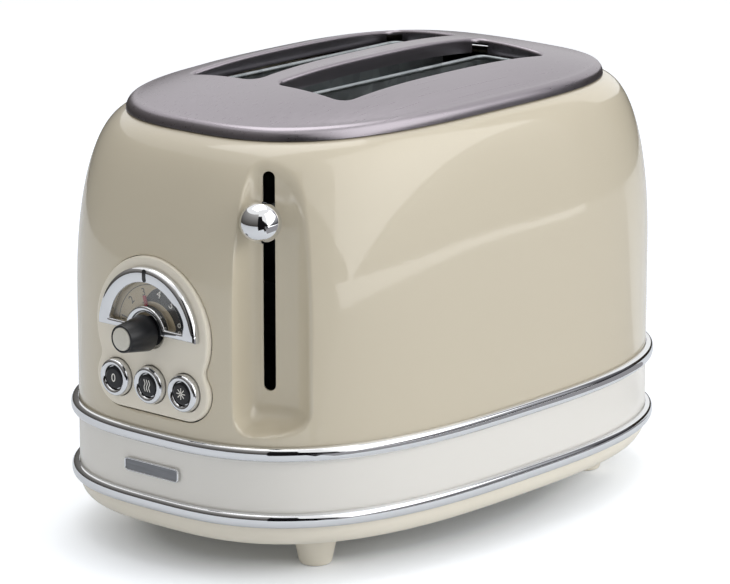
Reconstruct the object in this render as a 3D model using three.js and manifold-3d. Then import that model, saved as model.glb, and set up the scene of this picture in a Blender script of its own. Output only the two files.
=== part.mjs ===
// Two-slice toaster in millimetres, +Z up, standing on z = 0. The control end faces -X.
// Left (+Y) and right (-Y) are as seen by someone who stands at the control end.

import * as THREE from 'three';
import { mergeVertices } from 'three/addons/utils/BufferGeometryUtils.js';
import Module from 'manifold-3d';

const wasm = await Module();
wasm.setup();

// Clearances that more than one piece uses
const seatGap = 0.3;
const slideGap = 0.5;
const cutOverrun = 6;
const weldDistance = 0.0001;
const sheet = 1;
const strip = 1.5;

// Plan outline of the casing: one superellipse power for every ring
const planSegments = 48;
const cornerPower = 2.85;

// Toasting chamber, which sets the casing's length and width
const slotHalfLength = 74;
const slotHalfWidth = 21.2;
const slotOffset = 27.5;
const slotCorner = 6;
const slotEndMargin = 17;
const mechanismBay = 59.6;
const boardOffset = 27.8;
const shieldOffset = 4.7;
const sideCavity = 39.1;

// Feet and base pan
const footHeight = 16.2;
const footTopRadius = 11;
const footBottomRadius = 7.4;
const footEdge = 0.8;
const footEndInset = 50.8;
const footSideInset = 44.5;
const baseHeight = 13.3;
const baseWall = 2.5;
const baseFloor = 2.2;
const baseEdgeInset = 7;
const baseEdgeHeight = 9.7;
const ventWidth = 4;
const ventPitch = 14;
const ventLength = 18;
const ventInset = 16;
const ventsEachSide = 7;

// Chrome bands and the ivory band between them
const bandHeight = 7;
const bandBulge = 3.1;
const ivoryHeight = 30.9;
const ivoryWall = 2;

// Body shell with its rolled shoulder
const shellWall = 1.2;
const shoulderRise = 90;
const shoulderPower = 2.27;
const shoulderEndInset = 29.2;
const shoulderSideInset = 20;
const shellFlange = 8;
const endSag = 2.65;

// Top plate
const plateEndInset = 25.7;
const plateSideInset = 17.5;
const rimWidth = 4.5;
const rimHeight = 5.7;
const crownRise = 10.9;
const crownPower = 2.9;
const lipDepth = 7.2;
const notchWidth = 5;
const notchLength = 7;
const notchAboveRim = 2.4;

// Slot liner under the top plate
const linerEndInset = 3;
const linerSideInset = 4.2;
const linerWall = 0.8;
const linerRim = 2.2;
const linerDepth = 18.5;
const linerBelowFlange = 11.6;

// Crumb tray
const trayFrontMargin = 5;
const trayHalfWidth = 55.6;
const trayWall = 1;
const gripHalfWidth = 16;
const gripReach = 3;
const gripHeight = 1.6;

// Lever recess: a vertical floor turned towards the right corner, with curved sides
const leverTurnDegrees = 24;
const recessInset = 24.6;
const recessSideInset = 48.5;
const recessLeft = 12.8;
const recessLeftDepth = 14.9;
const recessRight = 21.7;
const recessRightDepth = 7.7;
const recessPower = 3.5;
const recessReach = 30;
const recessBeyondShare = 3;
const recessFootHeight = 12;
const recessFootPower = 2.5;
const recessBottomMargin = 8.7;
const leverSlotWidth = 5.8;
const leverSlotFromFoot = 5;
const leverSlotTopMargin = 12.6;

// Lever, carriage and bread racks
const leverTravel = 74;
const leverLift = 14;
const leverStopMargin = 3.5;
const stemWidth = 4;
const stemHeight = 7;
const stemPin = 2.3;
const stemPinLength = 7;
const stemPastFloor = 1.5;
const stemInStrip = 0.5;
const knobRadius = 9.5;
const knobStandoff = 12;
const armWidth = 8;
const armFootDrop = 62;
const guideStandoff = 16;
const guideRadius = 2.5;
const guideAboveTab = 2;
const bushRadius = 6;
const bushHeight = 24;
const carriageHeight = 22;
const lugSide = 26;
const springSide = 18;
const springRadius = 4;
const springWire = 0.7;
const springCurls = 9;
const springStepsPerCurl = 8;
const springWireSides = 5;
const rackThickness = 2;
const rackHeight = 10;
const rackTopHalfWidth = 7;
const rackTopThickness = 1.5;
const rackEndInset = 10;
const rackPastPlate = 4;
const slitGap = 1.2;
const leverAboveRack = 48;
const bossRadius = 5.5;
const bossHeight = 4.5;

// Heater boards and their windings
const boardThickness = 0.8;
const boardBottomRise = 27.3;
const boardTopDrop = 7;
const ribbonWidth = 2.4;
const ribbonThickness = 0.5;
const ribbonTurns = 9;
const lastTurnShare = 0.5;
const ribbonSteps = 40;
const ribbonEndMargin = 10;
const shieldThickness = 0.8;
const shieldBottomRise = 17.3;

// Bread guards
const guardInset = 3.7;
const guardWire = 0.8;
const guardRail = 1;
const guardWires = 7;
const guardWireSides = 5;
const guardRailSides = 6;
const guardBottomRise = 37.3;
const guardTopDrop = 6;
const guardTravel = 4.5;
const guardBackTravel = 0.9;
const guardPastPlate = 1.5;
const guardEndMargin = 10;
const legWidth = 5;

// Latch: a steel plate on the carriage and an electromagnet on the base
const magnetY = 44;
const magnetHalfWidth = 9;
const magnetLeg = 4;
const magnetCentreLeg = 5;
const magnetDepth = 9;
const magnetYoke = 5;
const coilHeight = 18;
const armatureThickness = 2.5;

// Control panel, circuit board and buttons, measured on the control end
const panelProud = 0.2;
const panelThickness = 3.5;
const panelBevel = 1;
const panelGap = 0.4;
const panelLobeMargin = 5.2;
const panelFillet = 7;
const buttonPastLobe = 0.3;
const buttonGap = 0.7;
const dialAboveButtons = 25.2;
const panelFootMargin = 2;
const postLength = 20.5;
const postRadius = 3;
const upperPostSide = 26;
const upperPostRise = 11;
const lowerPostSide = 28;
const lowerPostDrop = 10;
const boardMargin = 1;
const circuitThickness = 1.6;
const buttonRadius = 8.8;
const buttonHoleGap = 0.3;
const buttonProud = 3.6;
const buttonRound = 1.8;
const insertRadius = 5.5;
const insertDepth = 2;
const insertSink = 0.5;
const flangeLip = 1.5;
const flangeThickness = 1;
const plungerRadius = 3;
const buttonTravel = 1.6;
const switchSize = 6;
const switchHeight = 3.5;
const switchBody = 1.75;
const switchKeyRadius = 1.5;

// Browning dial and knob
const dialPocketMargin = 4.8;
const dialPocketDepth = 2.2;
const dialFaceThickness = 0.6;
const hubPocketRadius = 8.2;
const bezelMargin = 4.7;
const bezelHeight = 3.9;
const bezelDrop = 0.5;
const windowMargin = 7.3;
const hubRingRadius = 12.4;
const barHeight = 3.2;
const windowThickness = 1.2;
const shaftRadius = 3;
const knobLift = 3.8;
const knobBaseRadius = 8.6;
const knobTipRadius = 6.4;
const knobLength = 15.3;
const knobBoreDepth = 10;
const capRim = 0.7;
const capDepth = 1.2;
const capProud = 0.6;
const capDomeShare = 0.75;
const needleHubRadius = 7;
const needleTipRadius = 16.4;
const needleHalfWidth = 0.9;
const needleThickness = 0.6;
const potRadius = 8;
const potHeight = 11.2;
const potBoreDepth = 8.5;

// Badge plate, cord gland and terminal block
const badgeHalfLength = 17;
const badgeHalfHeight = 3.25;
const badgeThickness = 1.2;
const badgeCorner = 1.6;
const glandBore = 3.6;
const glandNeck = 5.7;
const glandFlange = 8;
const glandFlangeThickness = 1.5;
const terminalLength = 30;
const terminalHeight = 16;
const terminalDepth = 13;
const terminalRise = 12;

// Heights and reaches that follow from the sizes above
const floorTop = footHeight + seatGap + baseFloor;
const baseBottom = footHeight + seatGap;
const baseTop = baseBottom + baseHeight;
const ivoryBottom = baseTop + seatGap;
const ivoryTop = ivoryBottom + ivoryHeight;
const shellBottom = ivoryTop + seatGap;
const recessBottom = shellBottom + recessBottomMargin;
const leverSlotBottom = recessBottom + recessFootHeight + leverSlotFromFoot;
const leverDown = leverSlotBottom + leverStopMargin + stemHeight / 2;
const leverRest = leverDown + leverTravel;
const leverSlotTop = leverRest + leverLift + leverStopMargin + stemHeight / 2;
const shellTop = leverSlotTop + leverSlotTopMargin;
const shoulderStart = shellTop - shoulderRise;
const chamberEnd = slotHalfLength + slotEndMargin;
const chassisOuter = chamberEnd + sheet;
const halfLength = chassisOuter + mechanismBay;
const outerBoard = slotOffset + boardOffset;
const shieldSide = outerBoard + shieldOffset;
const halfWidth = shieldSide + sideCavity;
const chassisHalfWidth = shieldSide + 2 * sheet;
const lowerBandZ = (baseTop + ivoryBottom) / 2;
const upperBandZ = (ivoryTop + shellBottom) / 2;
const trayTop = lowerBandZ - bandHeight / 2 - slideGap;
const linerTop = shellTop - linerBelowFlange + linerDepth;
const linerPlateTop = shellTop - linerBelowFlange;
const chassisTop = linerPlateTop - sheet - seatGap;
const plateEdge = shellTop + seatGap;
const rackTop = leverRest - leverAboveRack;
const flangeRadius = buttonRadius + flangeLip;
const buttonPitch = 2 * flangeRadius + buttonGap;
const panelLobeRadius = buttonRadius + panelLobeMargin;
const panelArchRadius = buttonPitch - buttonPastLobe + panelLobeRadius;
const bezelRadius = panelArchRadius - bezelMargin;
const dialPocketRadius = bezelRadius - dialPocketMargin;
const windowRadius = bezelRadius - windowMargin;
const panelFace = halfLength + panelProud;
const panelBack = panelFace - panelThickness;
const buttonZ = recessBottom + panelFootMargin + panelLobeRadius;
const dialZ = buttonZ + dialAboveButtons;
const knobFront = panelFace + seatGap + knobLift + knobLength + capProud;

// Finishes
const enamel = { color: 0xd8cdb0, roughness: 0.25, metalness: 0 };
const ivory = { color: 0xece7d8, roughness: 0.3, metalness: 0 };
const chrome = { color: 0xd9dadb, roughness: 0.08, metalness: 1 };
const brushed = { color: 0xa9a5a8, roughness: 0.35, metalness: 1 };
const zinc = { color: 0x9da2a4, roughness: 0.45, metalness: 1 };
const mica = { color: 0xb7a98a, roughness: 0.6, metalness: 0 };
const nichrome = { color: 0x8a7f76, roughness: 0.5, metalness: 1 };
const blackPlastic = { color: 0x17181b, roughness: 0.35, metalness: 0 };
const capIvory = { color: 0xe3dfd0, roughness: 0.4, metalness: 0 };
const redPaint = { color: 0xb23a44, roughness: 0.5, metalness: 0 };
const clearPlastic = { color: 0xdfe3e4, roughness: 0.05, metalness: 0, transparent: true, opacity: 0.3 };
const copper = { color: 0xb06a3c, roughness: 0.4, metalness: 1 };
const circuitGreen = { color: 0x2f6b45, roughness: 0.6, metalness: 0 };
const terminalWhite = { color: 0xe8e6df, roughness: 0.5, metalness: 0 };

// Mesh helpers
function facesOut(geometry) {
  const place = geometry.attributes.position;
  const index = geometry.index.array;
  const [a, b, c] = [new THREE.Vector3(), new THREE.Vector3(), new THREE.Vector3()];
  let volume = 0;
  for (let i = 0; i < index.length; i += 3) {
    a.fromBufferAttribute(place, index[i]);
    b.fromBufferAttribute(place, index[i + 1]);
    c.fromBufferAttribute(place, index[i + 2]);
    volume += a.dot(b.cross(c));
  }
  if (volume < 0) {
    for (let i = 0; i < index.length; i += 3) [index[i + 1], index[i + 2]] = [index[i + 2], index[i + 1]];
  }
  return geometry;
}

function bare(geometry) {
  const copy = geometry.clone();
  copy.deleteAttribute('normal');
  copy.deleteAttribute('uv');
  return facesOut(mergeVertices(copy, weldDistance));
}

function fromLists(points, faces) {
  const geometry = new THREE.BufferGeometry();
  geometry.setAttribute('position', new THREE.Float32BufferAttribute(points.flat(), 3));
  geometry.setIndex(faces.flat());
  return facesOut(geometry);
}

function toSolid(geometry) {
  const clean = bare(geometry);
  return new wasm.Manifold(new wasm.Mesh({
    numProp: 3,
    vertProperties: new Float32Array(clean.attributes.position.array),
    triVerts: new Uint32Array(clean.index.array),
  }));
}

function toGeometry(manifold) {
  const mesh = manifold.getMesh();
  const geometry = new THREE.BufferGeometry();
  geometry.setAttribute('position', new THREE.BufferAttribute(new Float32Array(mesh.vertProperties), 3));
  geometry.setIndex(new THREE.BufferAttribute(new Uint32Array(mesh.triVerts), 1));
  return geometry;
}

const join = (...pieces) => toGeometry(pieces.map(toSolid).reduce((a, b) => a.add(b)));
const cut = (piece, ...tools) =>
  toGeometry(tools.map(toSolid).reduce((a, b) => a.subtract(b), toSolid(piece)));
const common = (piece, tool) => toGeometry(toSolid(piece).intersect(toSolid(tool)));

// A block between two values on each axis
function block([x0, x1], [y0, y1], [z0, z1]) {
  const box = new THREE.BoxGeometry(x1 - x0, y1 - y0, z1 - z0);
  return box.translate((x0 + x1) / 2, (y0 + y1) / 2, (z0 + z1) / 2);
}

// A round bar along Z from z0 to z1
function bar(radius, z0, z1, sides = 16) {
  const upright = new THREE.CylinderGeometry(radius, radius, z1 - z0, sides).rotateX(Math.PI / 2);
  return upright.translate(0, 0, (z0 + z1) / 2);
}

// A turned piece about Z, from [radius, z] pairs
function turned(profile, sides = 20) {
  const points = profile.map(([radius, z]) => new THREE.Vector2(radius, z));
  return bare(new THREE.LatheGeometry(points, sides).rotateX(Math.PI / 2));
}

// A shape pulled up from z0 to z1; each arc in it gets twice curveSegments sides
function extruded(shape, z0, z1, curveSegments = 3) {
  const depth = z1 - z0;
  return new THREE.ExtrudeGeometry(shape, { depth, bevelEnabled: false, curveSegments }).translate(0, 0, z0);
}

// The plan outline as a ring of points; the ends of the toaster sag a little below its middle
function planRing({ end, side, z, sag = 0 }) {
  const ring = [];
  const power = 2 / cornerPower;
  for (let i = 0; i < planSegments; i++) {
    const angle = 2 * Math.PI * i / planSegments;
    const x = end * Math.sign(Math.cos(angle)) * Math.abs(Math.cos(angle)) ** power;
    const y = side * Math.sign(Math.sin(angle)) * Math.abs(Math.sin(angle)) ** power;
    ring.push([x, y, z - sag * (x / halfLength) ** 2]);
  }
  return ring;
}

// A skin over plan rings: a hoop closes on its first ring, and anything else is capped at both ends
function skin(rows, isHoop = false) {
  const points = rows.flatMap(planRing);
  const faces = [];
  const spans = isHoop ? rows.length : rows.length - 1;
  for (let i = 0; i < spans; i++) {
    const lower = i * planSegments;
    const upper = ((i + 1) % rows.length) * planSegments;
    for (let j = 0; j < planSegments; j++) {
      const k = (j + 1) % planSegments;
      faces.push([lower + j, lower + k, upper + k], [lower + j, upper + k, upper + j]);
    }
  }
  if (!isHoop) {
    const last = (rows.length - 1) * planSegments;
    const bottom = points.length;
    const top = bottom + 1;
    points.push([0, 0, rows[0].z], [0, 0, rows.at(-1).z]);
    for (let j = 0; j < planSegments; j++) {
      const k = (j + 1) % planSegments;
      faces.push([bottom, k, j], [top, last + j, last + k]);
    }
  }
  return fromLists(points, faces);
}

const insetRow = (inset, z) => ({ end: halfLength - inset, side: halfWidth - inset, z });

function roundedRectangle(halfX, halfY, radius) {
  const shape = new THREE.Shape();
  shape.moveTo(halfX - radius, -halfY);
  shape.absarc(halfX - radius, radius - halfY, radius, -Math.PI / 2, 0);
  shape.absarc(halfX - radius, halfY - radius, radius, 0, Math.PI / 2);
  shape.absarc(radius - halfX, halfY - radius, radius, Math.PI / 2, Math.PI);
  shape.absarc(radius - halfX, radius - halfY, radius, Math.PI, 3 * Math.PI / 2);
  shape.closePath();
  return shape;
}

function circle(x, y, radius) {
  const shape = new THREE.Shape();
  shape.absarc(x, y, radius, 0, 2 * Math.PI);
  return shape;
}

// A group whose +Z looks out of the casing, turned from -X towards the right side, with +X to the right
function lookingOut(degrees, x, y) {
  const turn = THREE.MathUtils.degToRad(degrees);
  const right = new THREE.Vector3(Math.sin(turn), -Math.cos(turn), 0);
  const up = new THREE.Vector3(0, 0, 1);
  const out = new THREE.Vector3(-Math.cos(turn), -Math.sin(turn), 0);
  const group = new THREE.Group();
  group.quaternion.setFromRotationMatrix(new THREE.Matrix4().makeBasis(right, up, out));
  group.position.set(x, y, 0);
  group.updateMatrix();
  return group;
}

const inGroup = (geometry, group) => geometry.clone().applyMatrix4(group.matrix);

const toaster = new THREE.Group();

function addPart(parent, name, geometry, finish) {
  const shape = geometry.index ? geometry.toNonIndexed() : geometry;
  shape.computeVertexNormals();
  const mesh = new THREE.Mesh(shape, new THREE.MeshStandardMaterial(finish));
  mesh.name = name;
  parent.add(mesh);
  return mesh;
}

const recessX = recessInset - halfLength;
const recessY = recessSideInset - halfWidth;
const controlEnd = lookingOut(0, 0, 0);
const leverFace = lookingOut(leverTurnDegrees, recessX, recessY);
toaster.add(controlEnd, leverFace);

// Feet
const footProfile = [
  [0, 0], [footBottomRadius - footEdge, 0], [footBottomRadius, footEdge],
  [footTopRadius, footHeight], [0, footHeight],
];
const footX = halfLength - footEndInset;
const footY = halfWidth - footSideInset;
for (const [end, x] of [['control', -footX], ['far', footX]]) {
  for (const [side, y] of [['right', -footY], ['left', footY]]) {
    addPart(toaster, `foot_${end}_${side}`, turned(footProfile), enamel).position.set(x, y, 0);
  }
}

// Base pan with a tray opening in its far wall, vents along its sides and a boss for the guide rod
function baseInset(z) {
  const share = Math.min(1, (z - baseBottom) / baseEdgeHeight);
  return baseEdgeInset * (1 - Math.sqrt(1 - (1 - share) ** 2));
}
const baseRow = (wall, z) => insetRow(wall + baseInset(z), z);
const edgeHeights = [0, Math.PI / 6, Math.PI / 3, Math.PI / 2].map((angle) =>
  baseBottom + baseEdgeHeight * (1 - Math.cos(angle)));
const innerHeights = [floorTop, ...edgeHeights.filter((z) => z > floorTop), baseTop];
const baseRows = [...edgeHeights, baseTop].map((z) => baseRow(0, z));
baseRows.push(...innerHeights.reverse().map((z) => baseRow(baseWall, z)));
const trayMouth = block(
  [0, halfLength + cutOverrun],
  [-trayHalfWidth - slideGap, trayHalfWidth + slideGap],
  [floorTop, trayTop + seatGap],
);
const vents = [];
const ventInner = halfWidth - baseWall - ventInset - ventLength;
for (let i = 0; i < ventsEachSide; i++) {
  const x = (i - (ventsEachSide - 1) / 2) * ventPitch;
  for (const side of [-1, 1]) {
    const reach = [side * ventInner, side * (ventInner + ventLength)].sort((a, b) => a - b);
    const across = [x - ventWidth / 2, x + ventWidth / 2];
    vents.push(block(across, reach, [baseBottom - cutOverrun, floorTop + sheet]));
  }
}
const guideX = -(chassisOuter + guideStandoff);
const boss = turned([
  [guideRadius + seatGap, baseBottom + baseFloor / 2], [bossRadius, baseBottom + baseFloor / 2],
  [bossRadius, floorTop + bossHeight], [guideRadius + seatGap, floorTop + bossHeight],
  [guideRadius + seatGap, baseBottom + baseFloor / 2],
]).translate(guideX, 0, 0);
addPart(toaster, 'base_pan', join(cut(skin(baseRows), trayMouth, ...vents), boss), enamel);

// Crumb tray, whose front is a piece of the base pan's own wall
const trayBottom = floorTop + seatGap;
const trayBack = -(chamberEnd - trayFrontMargin);
function traySolid(inset, halfY, x0, z0, z1) {
  const plan = skin([z0, (z0 + z1) / 2, z1].map((z) => baseRow(inset, z)));
  const part = block([x0, halfLength + cutOverrun], [-halfY, halfY], [z0 - cutOverrun, z1 + cutOverrun]);
  return common(plan, part);
}
const trayBody = traySolid(0, trayHalfWidth, trayBack, trayBottom, trayTop);
const trayHollow = traySolid(
  baseWall, trayHalfWidth - trayWall, trayBack + trayWall, trayBottom + trayWall, trayTop + cutOverrun);
const gripZ = (trayBottom + trayTop) / 2;
const trayGrip = block(
  [halfLength - baseWall / 2, halfLength + gripReach],
  [-gripHalfWidth, gripHalfWidth],
  [gripZ - gripHeight / 2, gripZ + gripHeight / 2],
);
addPart(toaster, 'crumb_tray', join(cut(trayBody, trayHollow), trayGrip), zinc);

// Ivory band and the two chrome bands that cover its joints
const ivoryRows = [
  insetRow(0, ivoryBottom), insetRow(0, ivoryTop),
  insetRow(ivoryWall, ivoryTop), insetRow(ivoryWall, ivoryBottom),
];
const glandZ = (ivoryBottom + ivoryTop) / 2;
const alongX = (geometry) => geometry.rotateY(Math.PI / 2);
const glandHole = alongX(bar(glandNeck + seatGap, halfLength - glandFlange, halfLength + cutOverrun))
  .translate(0, 0, glandZ);
addPart(toaster, 'ivory_band', cut(skin(ivoryRows, true), glandHole), ivory);

function chromeBand(z) {
  const rows = [];
  for (const angle of [-Math.PI / 2, -Math.PI / 4, 0, Math.PI / 4, Math.PI / 2]) {
    rows.push(insetRow(-seatGap - bandBulge * Math.cos(angle), z + bandHeight / 2 * Math.sin(angle)));
  }
  return skin(rows, true);
}
addPart(toaster, 'lower_band', chromeBand(lowerBandZ), chrome);
addPart(toaster, 'upper_band', chromeBand(upperBandZ), chrome);

// Cord gland through the ivory band at the far end
const glandOut = halfLength + seatGap;
const glandIn = halfLength - ivoryWall - seatGap;
const glandInner = glandIn - glandFlangeThickness;
const glandOuter = glandOut + glandFlangeThickness;
const glandProfile = [
  [glandBore, glandInner], [glandFlange, glandInner], [glandFlange, glandIn], [glandNeck, glandIn],
  [glandNeck, glandOut], [glandFlange, glandOut], [glandFlange, glandOuter], [glandBore, glandOuter],
  [glandBore, glandInner],
];
addPart(toaster, 'cord_gland', alongX(turned(glandProfile)).translate(0, 0, glandZ), blackPlastic);

// Blank badge plate on the ivory band
const badge = extruded(roundedRectangle(badgeHalfLength, badgeHalfHeight, badgeCorner), 0, badgeThickness);
addPart(controlEnd, 'badge_plate', badge, chrome).position.set(0, glandZ, halfLength + seatGap);

// Body shell: rings up the side, over the shoulder, in along the flange and down the inside
const shoulderShares = [0.32, 0.52, 0.68, 0.8, 0.89, 0.95, 0.985, 1];
const innerShoulderShares = [0.52, 0.8, 0.95, 0.985];
function shellRow(share, wall) {
  const inset = 1 - (1 - share ** shoulderPower) ** (1 / shoulderPower);
  return {
    end: halfLength - wall - shoulderEndInset * inset,
    side: halfWidth - wall - shoulderSideInset * inset,
    z: shoulderStart + (shoulderRise - wall) * share,
    sag: endSag * share ** 2,
  };
}
const outerRows = [insetRow(0, shellBottom), insetRow(0, shoulderStart)];
outerRows.push(...shoulderShares.map((share) => shellRow(share, 0)));
const innerRows = [insetRow(shellWall, shellBottom), insetRow(shellWall, shoulderStart)];
innerRows.push(...innerShoulderShares.map((share) => shellRow(share, shellWall)));
const flangeOuter = shellRow(1, 0);
const flangeRow = (z) => ({
  end: flangeOuter.end - shellFlange, side: flangeOuter.side - shellFlange, z, sag: endSag,
});
const flangeRows = [flangeRow(shellTop), flangeRow(shellTop - shellWall)];
const casing = skin(outerRows);
const hollowShell = skin([...outerRows, ...flangeRows, ...innerRows.reverse()], true);

// Lever recess: a curved trough that stands upright, open to the outside, with a rounded foot
const troughShares = [-1, -0.94, -0.85, -0.72, -0.55, -0.3, 0, 0.3, 0.5, 0.66, 0.8, 0.91, 1];
const troughFootShares = [1.5, 1.2, 1, 0.8, 0.6, 0.4, 0.2, 0];
function trough(grow) {
  const points = [];
  const faces = [];
  const foot = recessBottom + recessFootHeight - grow;
  const far = recessReach;
  const levels = troughFootShares.map((share) => [foot - recessFootHeight * share, share]);
  levels.push([shellTop + cutOverrun, 0]);
  const mouth = (depth) => (far / depth) ** (1 / recessPower);
  const left = (recessLeft + grow) * mouth(recessLeftDepth + grow);
  const right = (recessRight + grow) * mouth(recessRightDepth + grow);
  for (const [z, rise] of levels) {
    const lift = recessFootHeight * rise ** recessFootPower;
    for (const share of troughShares) {
      const side = share * (share < 0 ? left : right);
      const floor = far * Math.abs(share) ** recessPower - grow;
      points.push([side, z, Math.min(floor + lift, far + lift)]);
    }
    points.push([right, z, far * recessBeyondShare], [-left, z, far * recessBeyondShare]);
  }
  const ring = troughShares.length + 2;
  for (let i = 0; i + 1 < levels.length; i++) {
    for (let j = 0; j < ring; j++) {
      const k = (j + 1) % ring;
      const lower = i * ring;
      const upper = lower + ring;
      faces.push([lower + j, lower + k, upper + k], [lower + j, upper + k, upper + j]);
    }
  }
  const lastRing = (levels.length - 1) * ring;
  const outline = points.slice(0, ring).map(([x, , z]) => new THREE.Vector2(x, z));
  const topOutline = points.slice(lastRing).map(([x, , z]) => new THREE.Vector2(x, z));
  for (const [a, b, c] of THREE.ShapeUtils.triangulateShape(outline, [])) faces.push([c, b, a]);
  for (const [a, b, c] of THREE.ShapeUtils.triangulateShape(topOutline, [])) {
    faces.push([lastRing + a, lastRing + b, lastRing + c]);
  }
  return inGroup(fromLists(points, faces), leverFace);
}

// Lever slot through the recess floor
const leverSlot = inGroup(
  extruded(
    roundedRectangle(leverSlotWidth / 2, (leverSlotTop - leverSlotBottom) / 2, leverSlotWidth / 2),
    -recessFootHeight, recessFootHeight,
  ).translate(0, (leverSlotTop + leverSlotBottom) / 2, 0),
  leverFace,
);

// Control panel outline: an arch round the dial, a lobe round the buttons, and a fillet on each side
// where the two meet
function keyholeShape(grow) {
  const arch = panelArchRadius + grow;
  const lobe = panelLobeRadius + grow;
  const fillet = panelFillet - grow;
  const lobeX = panelArchRadius - panelLobeRadius;
  const drop = dialZ - buttonZ;
  const apart = Math.hypot(lobeX, drop);
  const along = ((arch + fillet) ** 2 - (lobe + fillet) ** 2 + apart ** 2) / (2 * apart);
  const across = Math.sqrt((arch + fillet) ** 2 - along ** 2);
  const filletX = (along * lobeX + across * drop) / apart;
  const filletZ = dialZ + (across * lobeX - along * drop) / apart;
  const archAngle = Math.atan2(filletZ - dialZ, filletX);
  const lobeAngle = Math.atan2(filletZ - buttonZ, filletX - lobeX);
  const shape = new THREE.Shape();
  shape.moveTo(-lobeX, buttonZ - lobe);
  shape.lineTo(lobeX, buttonZ - lobe);
  shape.absarc(lobeX, buttonZ, lobe, -Math.PI / 2, lobeAngle);
  shape.absarc(filletX, filletZ, fillet, lobeAngle + Math.PI, archAngle + Math.PI, true);
  shape.absarc(0, dialZ, arch, archAngle, Math.PI / 2);
  shape.absarc(0, dialZ, arch, Math.PI / 2, Math.PI - archAngle);
  shape.absarc(-filletX, filletZ, fillet, -archAngle, -lobeAngle, true);
  shape.absarc(-lobeX, buttonZ, lobe, Math.PI - lobeAngle, 3 * Math.PI / 2);
  shape.closePath();
  return shape;
}
const panelOpening = inGroup(
  extruded(keyholeShape(panelGap), halfLength - recessReach, halfLength + cutOverrun, 6), controlEnd);
const recessWall = common(trough(shellWall), casing);
const shell = cut(join(hollowShell, recessWall), trough(0), leverSlot, panelOpening);
addPart(toaster, 'body_shell', shell, enamel);

// Top plate: a thin crowned sheet with a rolled rim and two slots with lips turned down
const plateEnd = halfLength - plateEndInset;
const plateSide = halfWidth - plateSideInset;
const rimAngles = [0, Math.PI / 6, Math.PI / 3, Math.PI / 2];
const crownShares = [0.86, 0.66, 0.4, 0.02];
const plateTopZ = plateEdge + rimHeight + crownRise;
const notchTop = plateEdge + rimHeight + notchAboveRim;
function plateRows(thickness) {
  const rows = rimAngles.map((angle) => ({
    end: plateEnd - thickness - (rimWidth - thickness) * (1 - Math.cos(angle)),
    side: plateSide - thickness - (rimWidth - thickness) * (1 - Math.cos(angle)),
    z: plateEdge + (rimHeight - thickness) * Math.sin(angle),
    sag: endSag,
  }));
  rows.push(...crownShares.map((share) => ({
    end: (plateEnd - rimWidth) * share,
    side: (plateSide - rimWidth) * share,
    z: plateEdge + rimHeight - thickness + crownRise * (1 - share ** crownPower),
    sag: endSag,
  })));
  return rows;
}
const plateSkin = skin([...plateRows(sheet).reverse(), ...plateRows(0)]);
const crownRows = (thickness) => plateRows(thickness).slice(rimAngles.length - 1);
const lipBlock = skin([...crownRows(lipDepth).reverse(), ...crownRows(sheet / 2)]);
const slotSides = [-slotOffset, slotOffset];
function slotPrism(grow, y) {
  const outline = roundedRectangle(slotHalfLength + grow, slotHalfWidth + grow, slotCorner + grow);
  return extruded(outline, plateEdge - lipDepth, plateTopZ + cutOverrun, 2).translate(0, y, 0);
}
const lips = slotSides.map((y) => common(slotPrism(sheet, y), lipBlock));
const slots = slotSides.map((y) => slotPrism(0, y));

// The lips are notched at their corners, under the plate's own rolled edge
const notches = slotSides.flatMap((y) => [-1, 1].flatMap((end) => [-1, 1].map((side) => {
  const across = [-notchWidth / 2, notchWidth / 2];
  const notch = block([-notchLength, notchLength], across, [plateEdge - lipDepth, notchTop]);
  return notch.rotateZ(end * side * Math.PI / 4)
    .translate(end * (slotHalfLength - slotCorner / 2), y + side * (slotHalfWidth - slotCorner / 2), 0);
})));
addPart(toaster, 'top_plate', cut(join(plateSkin, ...lips), ...slots, ...notches), brushed);

// Slot liner: a flat sheet with a collar and a rolled rim below each slot
const linerHalfLength = slotHalfLength - linerEndInset;
const linerHalfWidth = slotHalfWidth - linerSideInset;
const linerPlate = block(
  [-chamberEnd, chamberEnd],
  [-shieldSide - sheet, shieldSide + sheet],
  [linerPlateTop - sheet, linerPlateTop],
);
function collarPrism(inset, z0, z1, y) {
  const outline = roundedRectangle(linerHalfLength - inset, linerHalfWidth - inset, slotCorner - inset);
  return extruded(outline, z0, z1, 2).translate(0, y, 0);
}
const collars = slotSides.map((y) => collarPrism(0, linerPlateTop - sheet, linerTop, y));
const chutes = slotSides.flatMap((y) => [
  collarPrism(linerWall, linerPlateTop - sheet - cutOverrun, linerTop - linerRim, y),
  collarPrism(linerRim, linerTop - linerRim - sheet, linerTop + cutOverrun, y),
]);
addPart(toaster, 'slot_liner', cut(join(linerPlate, ...collars), ...chutes), zinc);

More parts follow.
